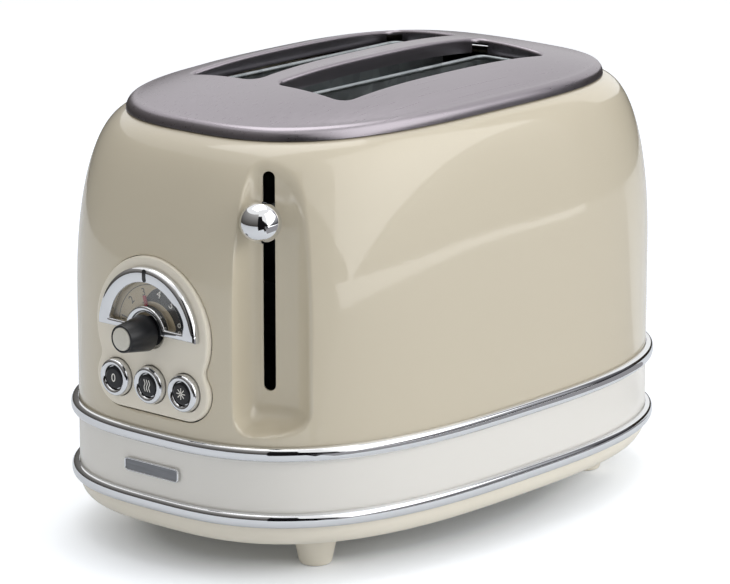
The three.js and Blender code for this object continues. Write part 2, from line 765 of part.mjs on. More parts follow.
// Chassis end plates, with slits for the racks and slots for the guard rails
const slitHalf = rackThickness / 2 + slitGap;
const rackBottom = rackTop - rackHeight;
const guardRest = slotHalfWidth - guardInset;
const guardLow = floorTop + guardBottomRise;
const guardHigh = chassisTop - guardTopDrop;
function chassisPlate(sign) {
  const face = [sign * chamberEnd, sign * chassisOuter].sort((a, b) => a - b);
  const through = [face[0] - cutOverrun, face[1] + cutOverrun];
  const plateBottom = trayTop + leverStopMargin;
  const pieces = [block(face, [-chassisHalfWidth, chassisHalfWidth], [plateBottom, chassisTop])];
  for (const side of [-1, 1]) {
    const reach = [side * chassisHalfWidth, side * (chassisHalfWidth - legWidth)].sort((a, b) => a - b);
    pieces.push(block(face, reach, [floorTop + seatGap, plateBottom + sheet]));
  }
  const tools = [];
  for (const y of slotSides) {
    const slitSpan = [rackBottom - leverTravel - slitGap, rackTop + leverLift + slitGap];
    tools.push(block(through, [y - slitHalf, y + slitHalf], slitSpan));
    for (const side of [-1, 1]) {
      const near = guardRest - guardTravel - guardRail - seatGap;
      const far = guardRest + guardBackTravel + guardRail + seatGap;
      const reach = [y + side * near, y + side * far].sort((a, b) => a - b);
      for (const z of [guardLow, guardHigh]) {
        tools.push(block(through, reach, [z - guardRail - seatGap, z + guardRail + seatGap]));
      }
    }
  }
  return { pieces, tools };
}
const tabReach = lugSide + sheet;
const tabHole = bar(guideRadius + seatGap, chassisTop - cutOverrun, chassisTop + cutOverrun)
  .translate(guideX, 0, 0);
const guideTab = block(
  [guideX - bushRadius, -chamberEnd], [-bushRadius - sheet, tabReach], [chassisTop - strip, chassisTop]);
const nearPlate = chassisPlate(-1);
const nearSheet = join(...nearPlate.pieces, guideTab);
addPart(toaster, 'chassis_control_end', cut(nearSheet, ...nearPlate.tools, tabHole), zinc);
const farPlate = chassisPlate(1);
addPart(toaster, 'chassis_far_end', cut(join(...farPlate.pieces), ...farPlate.tools), zinc);

// Heat shields between the end plates
for (const [name, side] of [['right', -1], ['left', 1]]) {
  const y = side * shieldSide;
  const shield = block(
    [seatGap - chamberEnd, chamberEnd - seatGap],
    [y - shieldThickness / 2, y + shieldThickness / 2],
    [floorTop + shieldBottomRise, chassisTop],
  );
  addPart(toaster, `heat_shield_${name}`, shield, zinc);
}

// Least clear distance between two places on a wound path that are at least that many points apart
function leastGap(path, apart, thickness) {
  let least = Infinity;
  for (let i = 0; i < path.length; i++) {
    for (let j = i + apart; j < path.length; j++) least = Math.min(least, path[i].distanceTo(path[j]));
  }
  return least - thickness;
}

// Heater boards, each with one flat ribbon wound over its top and bottom edges
const boardBottom = floorTop + boardBottomRise;
const boardTop = chassisTop - boardTopDrop;
const ribbonEnd = chamberEnd - ribbonEndMargin;
function ribbon() {
  const pitch = (2 * ribbonEnd - ribbonWidth) / (ribbonTurns - lastTurnShare);
  const inner = boardThickness / 2 + seatGap;
  const outer = inner + ribbonThickness;
  const points = [];
  const faces = [];
  const bends = [];
  const corner = (x, side, high) => {
    const z = high ? boardTop + seatGap : boardBottom - seatGap;
    const beyond = high ? z + ribbonThickness : z - ribbonThickness;
    points.push([x, side * inner, z], [x + ribbonWidth, side * inner, z]);
    points.push([x + ribbonWidth, side * outer, beyond], [x, side * outer, beyond]);
    bends.push(new THREE.Vector3(x, side * (inner + outer) / 2, z));
  };
  for (let i = 0; i < ribbonTurns; i++) {
    const x = -ribbonEnd + i * pitch;
    corner(x, 1, false);
    corner(x, 1, true);
    corner(x, -1, true);
    if (i + 1 < ribbonTurns) corner(x + pitch, -1, false);
  }
  const sections = points.length / 4;
  for (let i = 0; i + 1 < sections; i++) {
    for (let j = 0; j < 4; j++) {
      const k = (j + 1) % 4;
      faces.push([4 * i + j, 4 * i + k, 4 * i + 4 + k], [4 * i + j, 4 * i + 4 + k, 4 * i + 4 + j]);
    }
  }
  const last = points.length - 4;
  faces.push([0, 2, 1], [0, 3, 2], [last, last + 1, last + 2], [last, last + 2, last + 3]);
  const path = bends.slice(1).flatMap((end, i) =>
    Array.from({ length: ribbonSteps }, (_, j) => bends[i].clone().lerp(end, j / ribbonSteps)));
  return { shape: fromLists(points, faces), gap: leastGap(path, ribbonSteps, ribbonThickness) };
}
const winding = ribbon();
console.log('ribbon gap', winding.gap.toFixed(2));
for (const [name, y] of [['right', -outerBoard], ['middle', 0], ['left', outerBoard]]) {
  const board = block(
    [seatGap - chamberEnd, chamberEnd - seatGap],
    [-boardThickness / 2, boardThickness / 2],
    [boardBottom, boardTop],
  );
  addPart(toaster, `heater_board_${name}`, board, mica).position.set(0, y, 0);
  addPart(toaster, `heater_winding_${name}`, winding.shape, nichrome).position.set(0, y, 0);
}

// Bread guards: two rails joined by upright wires, on both sides of each slot
function breadGuard() {
  const railEnd = chassisOuter + guardPastPlate;
  const rails = [guardLow, guardHigh].map((z) =>
    alongX(bar(guardRail, -railEnd, railEnd, guardRailSides)).translate(0, 0, z));
  const span = chamberEnd - guardEndMargin;
  const wires = [];
  for (let i = 0; i < guardWires; i++) {
    const x = span * (2 * i / (guardWires - 1) - 1);
    wires.push(bar(guardWire, guardLow, guardHigh, guardWireSides).translate(x, 0, 0));
  }
  return join(...rails, ...wires);
}
for (const [slotName, y] of [['right', -slotOffset], ['left', slotOffset]]) {
  for (const [sideName, side] of [['outer', Math.sign(y)], ['inner', -Math.sign(y)]]) {
    const guard = addPart(toaster, `bread_guard_${slotName}_${sideName}`, breadGuard(), zinc);
    guard.position.set(0, y + side * guardRest, 0);
  }
}

// Guide rod and carriage
const rodBottom = floorTop + seatGap;
addPart(toaster, 'guide_rod', bar(guideRadius, rodBottom, chassisTop + guideAboveTab), chrome)
  .position.set(guideX, 0, 0);
const carriageZ = rackTop - rackHeight / 2;
const carriageFront = guideX + bushRadius + seatGap;
const carriageBack = carriageFront + strip;
const lugFront = guideX - bushRadius;
const upperLug = carriageZ + bushHeight / 2 + seatGap;
const lowerLug = carriageZ - bushHeight / 2 - seatGap;
const armFront = carriageFront - seatGap - strip;
const leverTurn = THREE.MathUtils.degToRad(leverTurnDegrees);
const stemDepth = (armFront + stemInStrip - recessX) / Math.cos(leverTurn);
const armY = recessY + stemDepth * Math.sin(leverTurn);
const carriageLeft = slotOffset + rackTopHalfWidth;
const carriagePlate = block(
  [carriageFront, carriageBack], [armY - armWidth / 2, carriageLeft],
  [carriageZ - carriageHeight / 2, upperLug + strip]);
const lugPlate = (z0, y1) => block([lugFront, carriageBack], [-bushRadius, y1], [z0, z0 + strip]);
const lowerLink = block(
  [carriageFront, carriageBack], [-bushRadius, bushRadius], [lowerLug - strip, carriageZ]);
const upperLugPlate = lugPlate(upperLug, magnetY + magnetHalfWidth);
const lowerLugPlate = lugPlate(lowerLug - strip, bushRadius);
const lugHole = bar(guideRadius + slideGap, lowerLug - cutOverrun, upperLug + cutOverrun)
  .translate(guideX, 0, 0);
const carriage = cut(join(carriagePlate, lowerLink, upperLugPlate, lowerLugPlate), lugHole);
addPart(toaster, 'carriage', carriage, zinc);
const bushProfile = [
  [guideRadius + seatGap, 0], [bushRadius, 0], [bushRadius, bushHeight], [guideRadius + seatGap, bushHeight],
  [guideRadius + seatGap, 0],
];
addPart(toaster, 'carriage_bush', turned(bushProfile, 16), blackPlastic)
  .position.set(guideX, 0, carriageZ - bushHeight / 2);

// Bread racks
for (const [name, y] of [['right', -slotOffset], ['left', slotOffset]]) {
  const blade = block(
    [carriageBack + seatGap, chassisOuter + rackPastPlate],
    [-rackThickness / 2, rackThickness / 2], [rackBottom, rackTop]);
  const ledge = block(
    [rackEndInset - chamberEnd, chamberEnd - rackEndInset],
    [-rackTopHalfWidth, rackTopHalfWidth], [rackTop - rackTopThickness, rackTop]);
  addPart(toaster, `bread_rack_${name}`, join(blade, ledge), zinc).position.set(0, y, 0);
}

// Lever arm: an upright strip on the carriage with a stem out through the slot
const armStrip = block(
  [armFront, armFront + strip], [armY - armWidth / 2, armY + armWidth / 2],
  [leverRest - armFootDrop, leverRest + stemHeight / 2]);
const stem = block(
  [-stemWidth / 2, stemWidth / 2],
  [leverRest - stemHeight / 2, leverRest + stemHeight / 2],
  [-stemDepth, stemPastFloor]);
const pin = bar(stemPin, 0, stemPastFloor + stemPinLength, 12).translate(0, leverRest, 0);
addPart(toaster, 'lever_arm', join(armStrip, inGroup(join(stem, pin), leverFace)), zinc);

// Ball knob on the stem's round pin
const ball = new THREE.SphereGeometry(knobRadius, 18, 12).translate(0, leverRest, knobStandoff);
const ballBore = bar(stemPin + seatGap, 0, stemPastFloor + stemPinLength + seatGap, 12)
  .translate(0, leverRest, 0);
addPart(leverFace, 'lever_knob', cut(ball, ballBore), chrome);

// Return spring from the carriage's upper lug to the guide tab
function coil(length) {
  const points = [];
  const path = [];
  const faces = [];
  const steps = springCurls * springStepsPerCurl;
  for (let i = 0; i <= steps; i++) {
    const angle = 2 * Math.PI * i / springStepsPerCurl;
    const z = springWire + (length - 2 * springWire) * i / steps;
    path.push(new THREE.Vector3(springRadius * Math.cos(angle), springRadius * Math.sin(angle), z));
    for (let j = 0; j < springWireSides; j++) {
      const round = 2 * Math.PI * j / springWireSides;
      const radius = springRadius + springWire * Math.cos(round);
      points.push([radius * Math.cos(angle), radius * Math.sin(angle), z + springWire * Math.sin(round)]);
    }
  }
  for (let i = 0; i < steps; i++) {
    for (let j = 0; j < springWireSides; j++) {
      const k = (j + 1) % springWireSides;
      const [a, b] = [i * springWireSides, (i + 1) * springWireSides];
      faces.push([a + j, a + k, b + k], [a + j, b + k, b + j]);
    }
  }
  const last = steps * springWireSides;
  for (let j = 1; j + 1 < springWireSides; j++) faces.push([0, j + 1, j], [last, last + j, last + j + 1]);
  console.log('spring gap', leastGap(path, springStepsPerCurl - 1, 2 * springWire).toFixed(2));
  return fromLists(points, faces);
}
const springBottom = upperLug + strip + seatGap;
const springTop = chassisTop - strip - seatGap;
addPart(toaster, 'carriage_spring', coil(springTop - springBottom), zinc)
  .position.set(guideX, springSide, springBottom);

// Latch plate under the carriage's lug, over an electromagnet that stands on the base floor
const armatureTop = upperLug - seatGap;
const armatureBottom = armatureTop - armatureThickness;
const magnetTop = armatureBottom - leverTravel - seatGap;
const magnetX = guideX - bushRadius;
const magnetSpan = [magnetX, magnetX + magnetDepth];
const magnetWidth = [magnetY - magnetHalfWidth, magnetY + magnetHalfWidth];
const armature = block(magnetSpan, magnetWidth, [armatureBottom, armatureTop]);
addPart(toaster, 'latch_plate', armature, zinc);
const yoke = block(magnetSpan, magnetWidth, [floorTop + seatGap, floorTop + seatGap + magnetYoke]);
const legRanges = [
  [-magnetHalfWidth, magnetLeg - magnetHalfWidth], [-magnetCentreLeg / 2, magnetCentreLeg / 2],
  [magnetHalfWidth - magnetLeg, magnetHalfWidth],
];
const legs = legRanges.map(([a, b]) =>
  block(magnetSpan, [magnetY + a, magnetY + b], [floorTop + seatGap, magnetTop]));
addPart(toaster, 'magnet_core', join(yoke, ...legs), zinc);
const coilBottom = floorTop + 2 * seatGap + magnetYoke;
const coilOuter = magnetHalfWidth - magnetLeg - seatGap;
const coilInner = magnetCentreLeg / 2 + seatGap;
const coilWall = coilOuter - coilInner;
const coilBlock = block(
  [magnetX - seatGap - coilWall, magnetX + magnetDepth + seatGap + coilWall],
  [magnetY - coilOuter, magnetY + coilOuter], [coilBottom, coilBottom + coilHeight]);
const coilHole = block(
  [magnetX - seatGap, magnetX + magnetDepth + seatGap],
  [magnetY - coilInner, magnetY + coilInner],
  [coilBottom - cutOverrun, coilBottom + coilHeight + cutOverrun],
);
addPart(toaster, 'magnet_coil', cut(coilBlock, coilHole), copper);

// Control panel with its dial pocket, button holes and posts
function dShape(radius, notch) {
  const shape = new THREE.Shape();
  shape.moveTo(radius, -bezelDrop);
  shape.lineTo(radius, 0);
  shape.absarc(0, 0, radius, 0, Math.PI);
  shape.lineTo(-radius, -bezelDrop);
  shape.lineTo(-notch, -bezelDrop);
  shape.absarc(0, 0, notch, Math.PI, 0, true);
  shape.lineTo(notch, -bezelDrop);
  shape.closePath();
  return shape;
}
const buttonSides = [-buttonPitch, 0, buttonPitch];
const postPlaces = [-1, 1].flatMap((side) => [
  [side * upperPostSide, dialZ + upperPostRise], [side * lowerPostSide, dialZ - lowerPostDrop]]);
const posts = postPlaces.map(([x, y]) =>
  bar(postRadius, panelBack - postLength + seatGap, panelBack + panelThickness / 2, 8).translate(x, y, 0));
const pocketFloor = panelFace - dialPocketDepth;
const dialPocket = extruded(dShape(dialPocketRadius, shaftRadius), pocketFloor, panelFace + cutOverrun, 10)
  .translate(0, dialZ, 0);
const panelThrough = (radius, sides) => bar(radius, panelBack - cutOverrun, panelFace + cutOverrun, sides);
const hubPocket = bar(hubPocketRadius, pocketFloor, panelFace + cutOverrun).translate(0, dialZ, 0);
const shaftHole = panelThrough(shaftRadius + panelGap).translate(0, dialZ, 0);
const buttonHoles = buttonSides.map((x) =>
  panelThrough(buttonRadius + buttonHoleGap, 20).translate(x, buttonZ, 0));

// The panel is bevelled at its front edge alone, so the bevel that lies behind its back face is cut off
const panelBody = new THREE.ExtrudeGeometry(keyholeShape(0), {
  depth: panelThickness - panelBevel,
  bevelThickness: panelBevel,
  bevelSize: panelBevel,
  bevelOffset: -panelBevel,
  bevelSegments: 1,
  curveSegments: 6,
}).translate(0, 0, panelBack);
const panelRear = block([-halfWidth, halfWidth], [0, shellTop], [panelBack - cutOverrun, panelBack]);
const panelPlate = join(cut(panelBody, panelRear), ...posts);
const panel = cut(panelPlate, dialPocket, hubPocket, shaftHole, ...buttonHoles);
addPart(controlEnd, 'control_panel', panel, enamel);

// Dial face, needle, window and bezel
const faceBack = pocketFloor + seatGap;
const faceFront = faceBack + dialFaceThickness;
const dialFaceShape = dShape(dialPocketRadius - panelGap, shaftRadius + panelGap);
const dialFace = extruded(dialFaceShape, faceBack, faceFront, 10);
addPart(controlEnd, 'dial_face', dialFace, capIvory).position.set(0, dialZ, 0);
const bezelBack = panelFace + seatGap;
const bezelFront = bezelBack + bezelHeight;
const windowOutline = (grow) => {
  const outer = windowRadius - grow;
  const inner = hubRingRadius + grow;
  const low = barHeight + grow;
  const shape = new THREE.Shape();
  const outerAngle = Math.asin(low / outer);
  const innerAngle = Math.asin(low / inner);
  shape.moveTo(outer * Math.cos(outerAngle), low);
  shape.absarc(0, 0, outer, outerAngle, Math.PI - outerAngle);
  shape.lineTo(-inner * Math.cos(innerAngle), low);
  shape.absarc(0, 0, inner, Math.PI - innerAngle, innerAngle, true);
  shape.closePath();
  return shape;
};
const knobBase = knobBaseRadius + panelGap;
const bezel = cut(
  extruded(dShape(bezelRadius, knobBase), bezelBack, bezelFront, 12),
  extruded(windowOutline(0), bezelBack - cutOverrun, bezelFront + cutOverrun, 10),
);
addPart(controlEnd, 'dial_bezel', bezel, chrome).position.set(0, dialZ, 0);
const dialWindow = extruded(windowOutline(seatGap), bezelBack, bezelBack + windowThickness, 10);
addPart(controlEnd, 'dial_window', dialWindow, clearPlastic).position.set(0, dialZ, 0);

// Browning knob, its cap, shaft and needle, which turn together
const knobBack = bezelBack + knobLift;
const knobTip = knobBack + knobLength;
const knobBore = knobBack + knobBoreDepth;
const shaftBore = shaftRadius + seatGap;
const knobProfile = [
  [0, knobBore], [shaftBore, knobBore], [shaftBore, knobBack], [knobBaseRadius, knobBack],
  [knobTipRadius, knobTip], [knobTipRadius - capRim, knobTip], [knobTipRadius - capRim, knobTip - capDepth],
  [0, knobTip - capDepth],
];
addPart(controlEnd, 'browning_knob', turned(knobProfile, 24), blackPlastic).position.set(0, dialZ, 0);
const capRadius = knobTipRadius - capRim - seatGap;
const capProfile = [
  [0, knobTip - capDepth + seatGap], [capRadius, knobTip - capDepth + seatGap], [capRadius, knobTip],
  [capRadius / 2, knobTip + capProud * capDomeShare], [0, knobTip + capProud],
];
addPart(controlEnd, 'knob_cap', turned(capProfile), capIvory).position.set(0, dialZ, 0);
const boardFace = panelBack - postLength;
const potFront = boardFace + seatGap + potHeight;
const shaftEnd = potFront - potBoreDepth + seatGap;
const knobShaft = bar(shaftRadius, shaftEnd, knobBore - seatGap);
addPart(controlEnd, 'knob_shaft', knobShaft, zinc).position.set(0, dialZ, 0);
const needleBack = faceFront + seatGap;
const needleFront = needleBack + needleThickness;
const needle = join(
  bar(needleHubRadius, needleBack, needleFront, 20),
  block([-needleHalfWidth, needleHalfWidth], [shaftBore, needleTipRadius], [needleBack, needleFront]),
);
const needleHole = bar(shaftBore, needleBack - cutOverrun, needleBack + cutOverrun);
addPart(controlEnd, 'dial_needle', cut(needle, needleHole), redPaint).position.set(0, dialZ, 0);

// Potentiometer and circuit board behind the panel
const potProfile = [
  [0, boardFace + seatGap], [potRadius, boardFace + seatGap], [potRadius, potFront], [shaftBore, potFront],
  [shaftBore, potFront - potBoreDepth], [0, potFront - potBoreDepth],
];
addPart(controlEnd, 'potentiometer', turned(potProfile), zinc).position.set(0, dialZ, 0);
const boardHalf = panelArchRadius - boardMargin;
const circuitBoard = block(
  [-boardHalf, boardHalf],
  [buttonZ - panelLobeRadius, dialZ + upperPostSide],
  [boardFace - circuitThickness, boardFace],
);
addPart(controlEnd, 'circuit_board', circuitBoard, circuitGreen);

// Push buttons with black inserts, and the switches behind them
const buttonTip = panelFace + buttonProud;
const flangeFront = panelBack - seatGap;
const switchTip = boardFace + seatGap + switchHeight;
const plungerEnd = switchTip + buttonTravel + slideGap;
const ringMiddle = (buttonRadius + insertRadius) / 2;
const ringHalf = (buttonRadius - insertRadius) / 2;
const ringRound = [1, 3 / 4, 1 / 2, 1 / 4, 0].map((share) => [
  ringMiddle + ringHalf * Math.cos(Math.PI * share),
  buttonTip - buttonRound * (1 - Math.sin(Math.PI * share)),
]);
const buttonProfile = [
  [0, buttonTip - insertDepth], [insertRadius, buttonTip - insertDepth], ...ringRound,
  [buttonRadius, flangeFront], [flangeRadius, flangeFront], [flangeRadius, flangeFront - flangeThickness],
  [plungerRadius, flangeFront - flangeThickness], [plungerRadius, plungerEnd], [0, plungerEnd],
];
const insertTip = buttonTip - insertSink;
const insertProfile = [
  [0, buttonTip - insertDepth + seatGap], [insertRadius - seatGap, buttonTip - insertDepth + seatGap],
  [insertRadius - seatGap, insertTip - seatGap], [insertRadius / 2, insertTip], [0, insertTip],
];
const buttonNames = ['cancel', 'reheat', 'defrost'];
buttonSides.forEach((x, i) => {
  const name = buttonNames[i];
  const body = block(
    [-switchSize / 2, switchSize / 2], [-switchSize / 2, switchSize / 2],
    [boardFace + seatGap, boardFace + seatGap + switchBody]);
  const key = bar(switchKeyRadius, boardFace + seatGap + switchBody / 2, switchTip, 10);
  addPart(controlEnd, `button_${name}`, turned(buttonProfile), chrome).position.set(x, buttonZ, 0);
  addPart(controlEnd, `insert_${name}`, turned(insertProfile), blackPlastic).position.set(x, buttonZ, 0);
  addPart(controlEnd, `switch_${name}`, join(body, key), blackPlastic).position.set(x, buttonZ, 0);
});

// Terminal block on the far end plate
const terminal = block(
  [chassisOuter + seatGap, chassisOuter + seatGap + terminalDepth],
  [-terminalLength / 2, terminalLength / 2],
  [trayTop + terminalRise, trayTop + terminalRise + terminalHeight]);
addPart(toaster, 'terminal_block', terminal, terminalWhite);

// The origin is under the middle of the whole object, knob included
toaster.position.x = (knobFront - halfLength - seatGap - bandBulge) / 2;

export default toaster;
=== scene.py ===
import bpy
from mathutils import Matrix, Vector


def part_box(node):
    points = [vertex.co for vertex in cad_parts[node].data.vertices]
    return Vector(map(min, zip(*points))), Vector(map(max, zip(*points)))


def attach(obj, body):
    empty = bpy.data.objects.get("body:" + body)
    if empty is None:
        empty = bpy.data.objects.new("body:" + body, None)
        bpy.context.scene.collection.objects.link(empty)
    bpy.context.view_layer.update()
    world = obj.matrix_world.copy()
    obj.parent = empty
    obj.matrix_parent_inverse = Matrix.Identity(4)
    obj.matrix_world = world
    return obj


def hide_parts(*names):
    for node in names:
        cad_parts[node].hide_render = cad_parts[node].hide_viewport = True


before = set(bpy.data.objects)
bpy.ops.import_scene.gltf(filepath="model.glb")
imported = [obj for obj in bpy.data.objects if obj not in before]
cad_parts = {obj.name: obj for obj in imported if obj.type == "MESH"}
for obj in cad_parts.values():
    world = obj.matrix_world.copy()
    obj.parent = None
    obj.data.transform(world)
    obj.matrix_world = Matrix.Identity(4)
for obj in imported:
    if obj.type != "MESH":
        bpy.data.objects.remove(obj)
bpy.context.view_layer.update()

import math

import bmesh
import bpy
import numpy as np
from mathutils import Matrix, Vector
from mathutils.geometry import delaunay_2d_cdt

# Studio. The camera stands off the corner between the control end and the lever's side, a little above the
# toaster, in a white room. A large soft box lights the long side and a second one hangs overhead. Cards that
# only mirrors show stand for the rest of the room, in the chrome and in the gloss of the enamel.
scene = bpy.context.scene
scene.view_settings.view_transform = "Standard"
camera = bpy.data.objects.new("camera", bpy.data.cameras.new("camera"))
scene.collection.objects.link(camera)
scene.camera = camera
camera.data.sensor_fit = "HORIZONTAL"
camera.data.sensor_width = 36
camera.data.lens = 202.68
camera_look = Vector((0.7315, 0.6357, -0.2467)).normalized()
camera_right = Vector((0.656, -0.755, 0)).normalized()
camera_up = camera_right.cross(camera_look)
camera_turn = Matrix((camera_right, camera_up, -camera_look)).transposed().to_4x4()
camera.matrix_world = Matrix.Translation((-1.4450, -1.2602, 0.5900)) @ camera_turn


def colour(code):
    """Linear RGBA of an sRGB hex colour."""
    shares = [int(code[i:i + 2], 16) / 255 for i in (1, 3, 5)]
    linear = [s / 12.92 if s <= 0.04045 else ((s + 0.055) / 1.055) ** 2.4 for s in shares]
    return (*linear, 1.0)


def node(tree, kind, inputs=None, into=None, **settings):
    """Adds a shader node. An input is a value, or the socket that it is linked to; the node's first output
    may be linked into a socket."""
    made = tree.nodes.new("ShaderNode" + kind)
    for key, value in settings.items():
        setattr(made, key, value)
    for key, value in (inputs or {}).items():
        if isinstance(value, bpy.types.NodeSocket):
            tree.links.new(value, made.inputs[key])
        else:
            made.inputs[key].default_value = value
    if into is not None:
        tree.links.new(made.outputs[0], into)
    return made


world = bpy.data.worlds.new("white studio")
scene.world = world
world.use_nodes = True
tree = world.node_tree
tree.nodes.clear()
path = node(tree, "LightPath")
mirrored = node(tree, "Math", {0: path.outputs["Is Glossy Ray"], 1: path.outputs["Is Transmission Ray"]},
                operation="MAXIMUM")
shown = node(tree, "Math", {0: path.outputs["Is Camera Ray"], 1: mirrored.outputs[0]}, operation="MAXIMUM")
ambient = node(tree, "Background", {"Color": colour("#fdfcfa"), "Strength": 0.5})
backdrop = node(tree, "Background", {"Color": (1, 1, 1, 1), "Strength": 1.0})
either = node(tree, "MixShader", {0: shown.outputs[0], 1: ambient.outputs[0], 2: backdrop.outputs[0]})
node(tree, "OutputWorld", {"Surface": either.outputs[0]})


def soft_box(name, size, power, place, aim):
    """An area lamp of that size in metres, pointed at a place on the toaster."""
    lamp = bpy.data.lights.new(name, "AREA")
    lamp.shape = "RECTANGLE"
    lamp.size, lamp.size_y = size
    lamp.energy = power
    box = bpy.data.objects.new(name, lamp)
    scene.collection.objects.link(box)
    box.location = place
    box.rotation_euler = (Vector(aim) - Vector(place)).to_track_quat("-Z", "Y").to_euler()
    return box


soft_box("side box", (1.1, 0.9), 10.1, (0.45, -1.5, 0.75), (0, 0, 0.1)).visible_glossy = False
soft_box("top box", (1.2, 1.0), 6.6, (0.1, 0.25, 1.5), (0, 0, 0.1))

floor_mesh = bpy.data.meshes.new("floor")
floor_half = 6.0
floor_corners = [(floor_half * x, floor_half * y, 0) for x, y in ((-1, -1), (1, -1), (1, 1), (-1, 1))]
floor_mesh.from_pydata(floor_corners, [], [(0, 1, 2, 3)])
floor = bpy.data.objects.new("floor", floor_mesh)
scene.collection.objects.link(floor)
# White paper: matt and a little cool. The camera sees it lifted to pure white away from the toaster; the lift
# fades out close round the toaster, which paints a shadow there over its real one.
white_paper = bpy.data.materials.new("white paper")
white_paper.use_nodes = True
tree = white_paper.node_tree
shader = tree.nodes["Principled BSDF"]
shader.inputs["Base Color"].default_value = colour("#f2f6fc")
shader.inputs["Roughness"].default_value = 0.9
shader.inputs["Specular IOR Level"].default_value = 0.1
path = node(tree, "LightPath")
shade_length, shade_width = 0.155, 0.1
spot = node(tree, "TexCoord").outputs["Object"]
shares = node(tree, "Mapping", {"Vector": spot, "Scale": (1 / shade_length, 1 / shade_width, 0)})
away = node(tree, "VectorMath", {0: shares.outputs[0]}, operation="LENGTH")
# Painted shadow: the camera's glow is nothing inside an oval round the toaster's footprint and rises to full
# outside it.
painted_shadow_ramp = node(tree, "MapRange", {"Value": away.outputs["Value"], "From Min": 0.75, "From Max": 1.15,
                                 "To Min": 0.0, "To Max": 0.45})
glow = node(tree, "Emission", {"Color": (0.97, 0.985, 1, 1), "Strength": painted_shadow_ramp.outputs[0]})
lit = node(tree, "AddShader", {0: shader.outputs[0], 1: glow.outputs[0]})
paper_seen = node(tree, "MixShader", {0: path.outputs["Is Camera Ray"], 1: shader.outputs[0],
                                      2: lit.outputs[0]})
tree.links.new(paper_seen.outputs[0], tree.nodes["Material Output"].inputs["Surface"])
floor_mesh.materials.append(white_paper)


def card_paint(name, foot, crest, height, strength=1.0):
    """The shade of a card that only mirrors show, from the floor up to a height in metres."""
    paint = bpy.data.materials.new(name)
    paint.use_nodes = True
    tree = paint.node_tree
    tree.nodes.clear()
    place = node(tree, "SeparateXYZ", {0: node(tree, "NewGeometry").outputs["Position"]})
    share = node(tree, "MapRange", {"Value": place.outputs["Z"], "From Max": height})
    shades = node(tree, "ValToRGB", {0: share.outputs[0]})
    shades.color_ramp.elements[0].color, shades.color_ramp.elements[1].color = colour(foot), colour(crest)
    shine = node(tree, "Emission", {"Color": shades.outputs[0], "Strength": strength})
    node(tree, "OutputMaterial", {"Surface": shine.outputs[0]})
    return paint


above_floor, card_distance, card_steps = 0.004, 1.2, 24
card_foot = ((card_distance, above_floor), (card_distance, above_floor))


def standing(first_top, last_top):
    """The upright part of a card, up to those heights at its first and at its last heading."""
    return [card_foot, ((card_distance, first_top), (card_distance, last_top))]


def lying(first_edge, last_edge):
    """The near edge of a card's part on the floor, at those distances from the toaster's middle."""
    return [((first_edge, above_floor), (last_edge, above_floor))]


def mirrored_card(name, paint, span, rows):
    """A card bent round the toaster between two headings in degrees, which only mirrors show. Each row has
    the distance and height of a line along the card, at its first and at its last heading."""
    headings = np.radians(np.linspace(*span, card_steps))
    points = []
    for first, last in rows:
        for heading, (distance, z) in zip(headings, np.linspace(first, last, card_steps)):
            points.append((distance * math.cos(heading), distance * math.sin(heading), z))
    starts = [card_steps * j + i for j in range(len(rows) - 1) for i in range(card_steps - 1)]
    faces = [(k, k + 1, k + card_steps + 1, k + card_steps) for k in starts]
    mesh = bpy.data.meshes.new(name)
    mesh.from_pydata(points, [], faces)
    card = bpy.data.objects.new(name, mesh)
    scene.collection.objects.link(card)
    mesh.materials.append(paint)
    card.visible_camera = card.visible_diffuse = card.visible_shadow = card.visible_transmission = False


black_cloth = card_paint("black cloth", "#151416", "#1c1b1d", 1.0)
mirrored_card("camera side", black_cloth, (207, 230), lying(0.42, 0.5) + standing(1.3, 1.3))
mirrored_card("beside the camera", black_cloth, (230, 260), lying(0.3, 0.7) + standing(0.7, 0.05))
dark_room = card_paint("dark room", "#1c1b1e", "#d8d8dc", 0.7)
mirrored_card("lever side", dark_room, (264, 326), standing(0.03, 0.7))
darker_room = card_paint("darker room", "#141316", "#9c9ba0", 1.0)
mirrored_card("lever side end", darker_room, (326, 345), standing(1.1, 1.2))
dark_wall = card_paint("dark wall", "#241f1c", "#4a423c", 0.5)
mirrored_card("far side", dark_wall, (345, 385), standing(0.5, 0.12))
# Painted reflection: a grey card lying on the floor that only mirrors show darkens the floor's reflection in
# the chrome and the enamel's gloss; the paper itself stays white.
grey_floor = card_paint("grey floor", "#9c9b9e", "#9c9b9e", 1.0)
mirrored_card("lever side floor", grey_floor, (236, 345), lying(0.25, 0.25) + [card_foot])
grey_room = card_paint("grey room", "#3c3936", "#bcbab8", 1.6)
mirrored_card("control side", grey_room, (20, 207), standing(0.12, 1.9))
# Painted highlight: the bright cloth glows above the room's white and only mirrors show it, so it paints the
# side box's highlight into the enamel's gloss; the side box itself is hidden from mirrors.
bright_cloth = card_paint("bright cloth", "#ffffff", "#ffffff", 1.0, 2.1)
box_distance, box_top, box_foot = 1.25, 2.0, 2 * above_floor
mirrored_card("soft box face", bright_cloth, (254, 326), [
    ((0.7, box_foot), (1.1, box_foot)), ((box_distance, box_foot), (box_distance, box_foot)),
    ((box_distance, box_top), (box_distance, box_top))])

# Feet. Four tapered feet moulded in cream ABS, with a rounded lower edge, pressed up to the base pan's floor.
# Sizes are in millimetres about the casing's middle, and piece() turns them to metres in the frame.
casing_low, casing_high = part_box("body_shell")
middle_x = 500 * (casing_low.x + casing_high.x)
half_length = 500 * (casing_high.x - casing_low.x)
half_width = 500 * (casing_high.y - casing_low.y)
casing_frame = Matrix.Translation((middle_x, 0, 0))


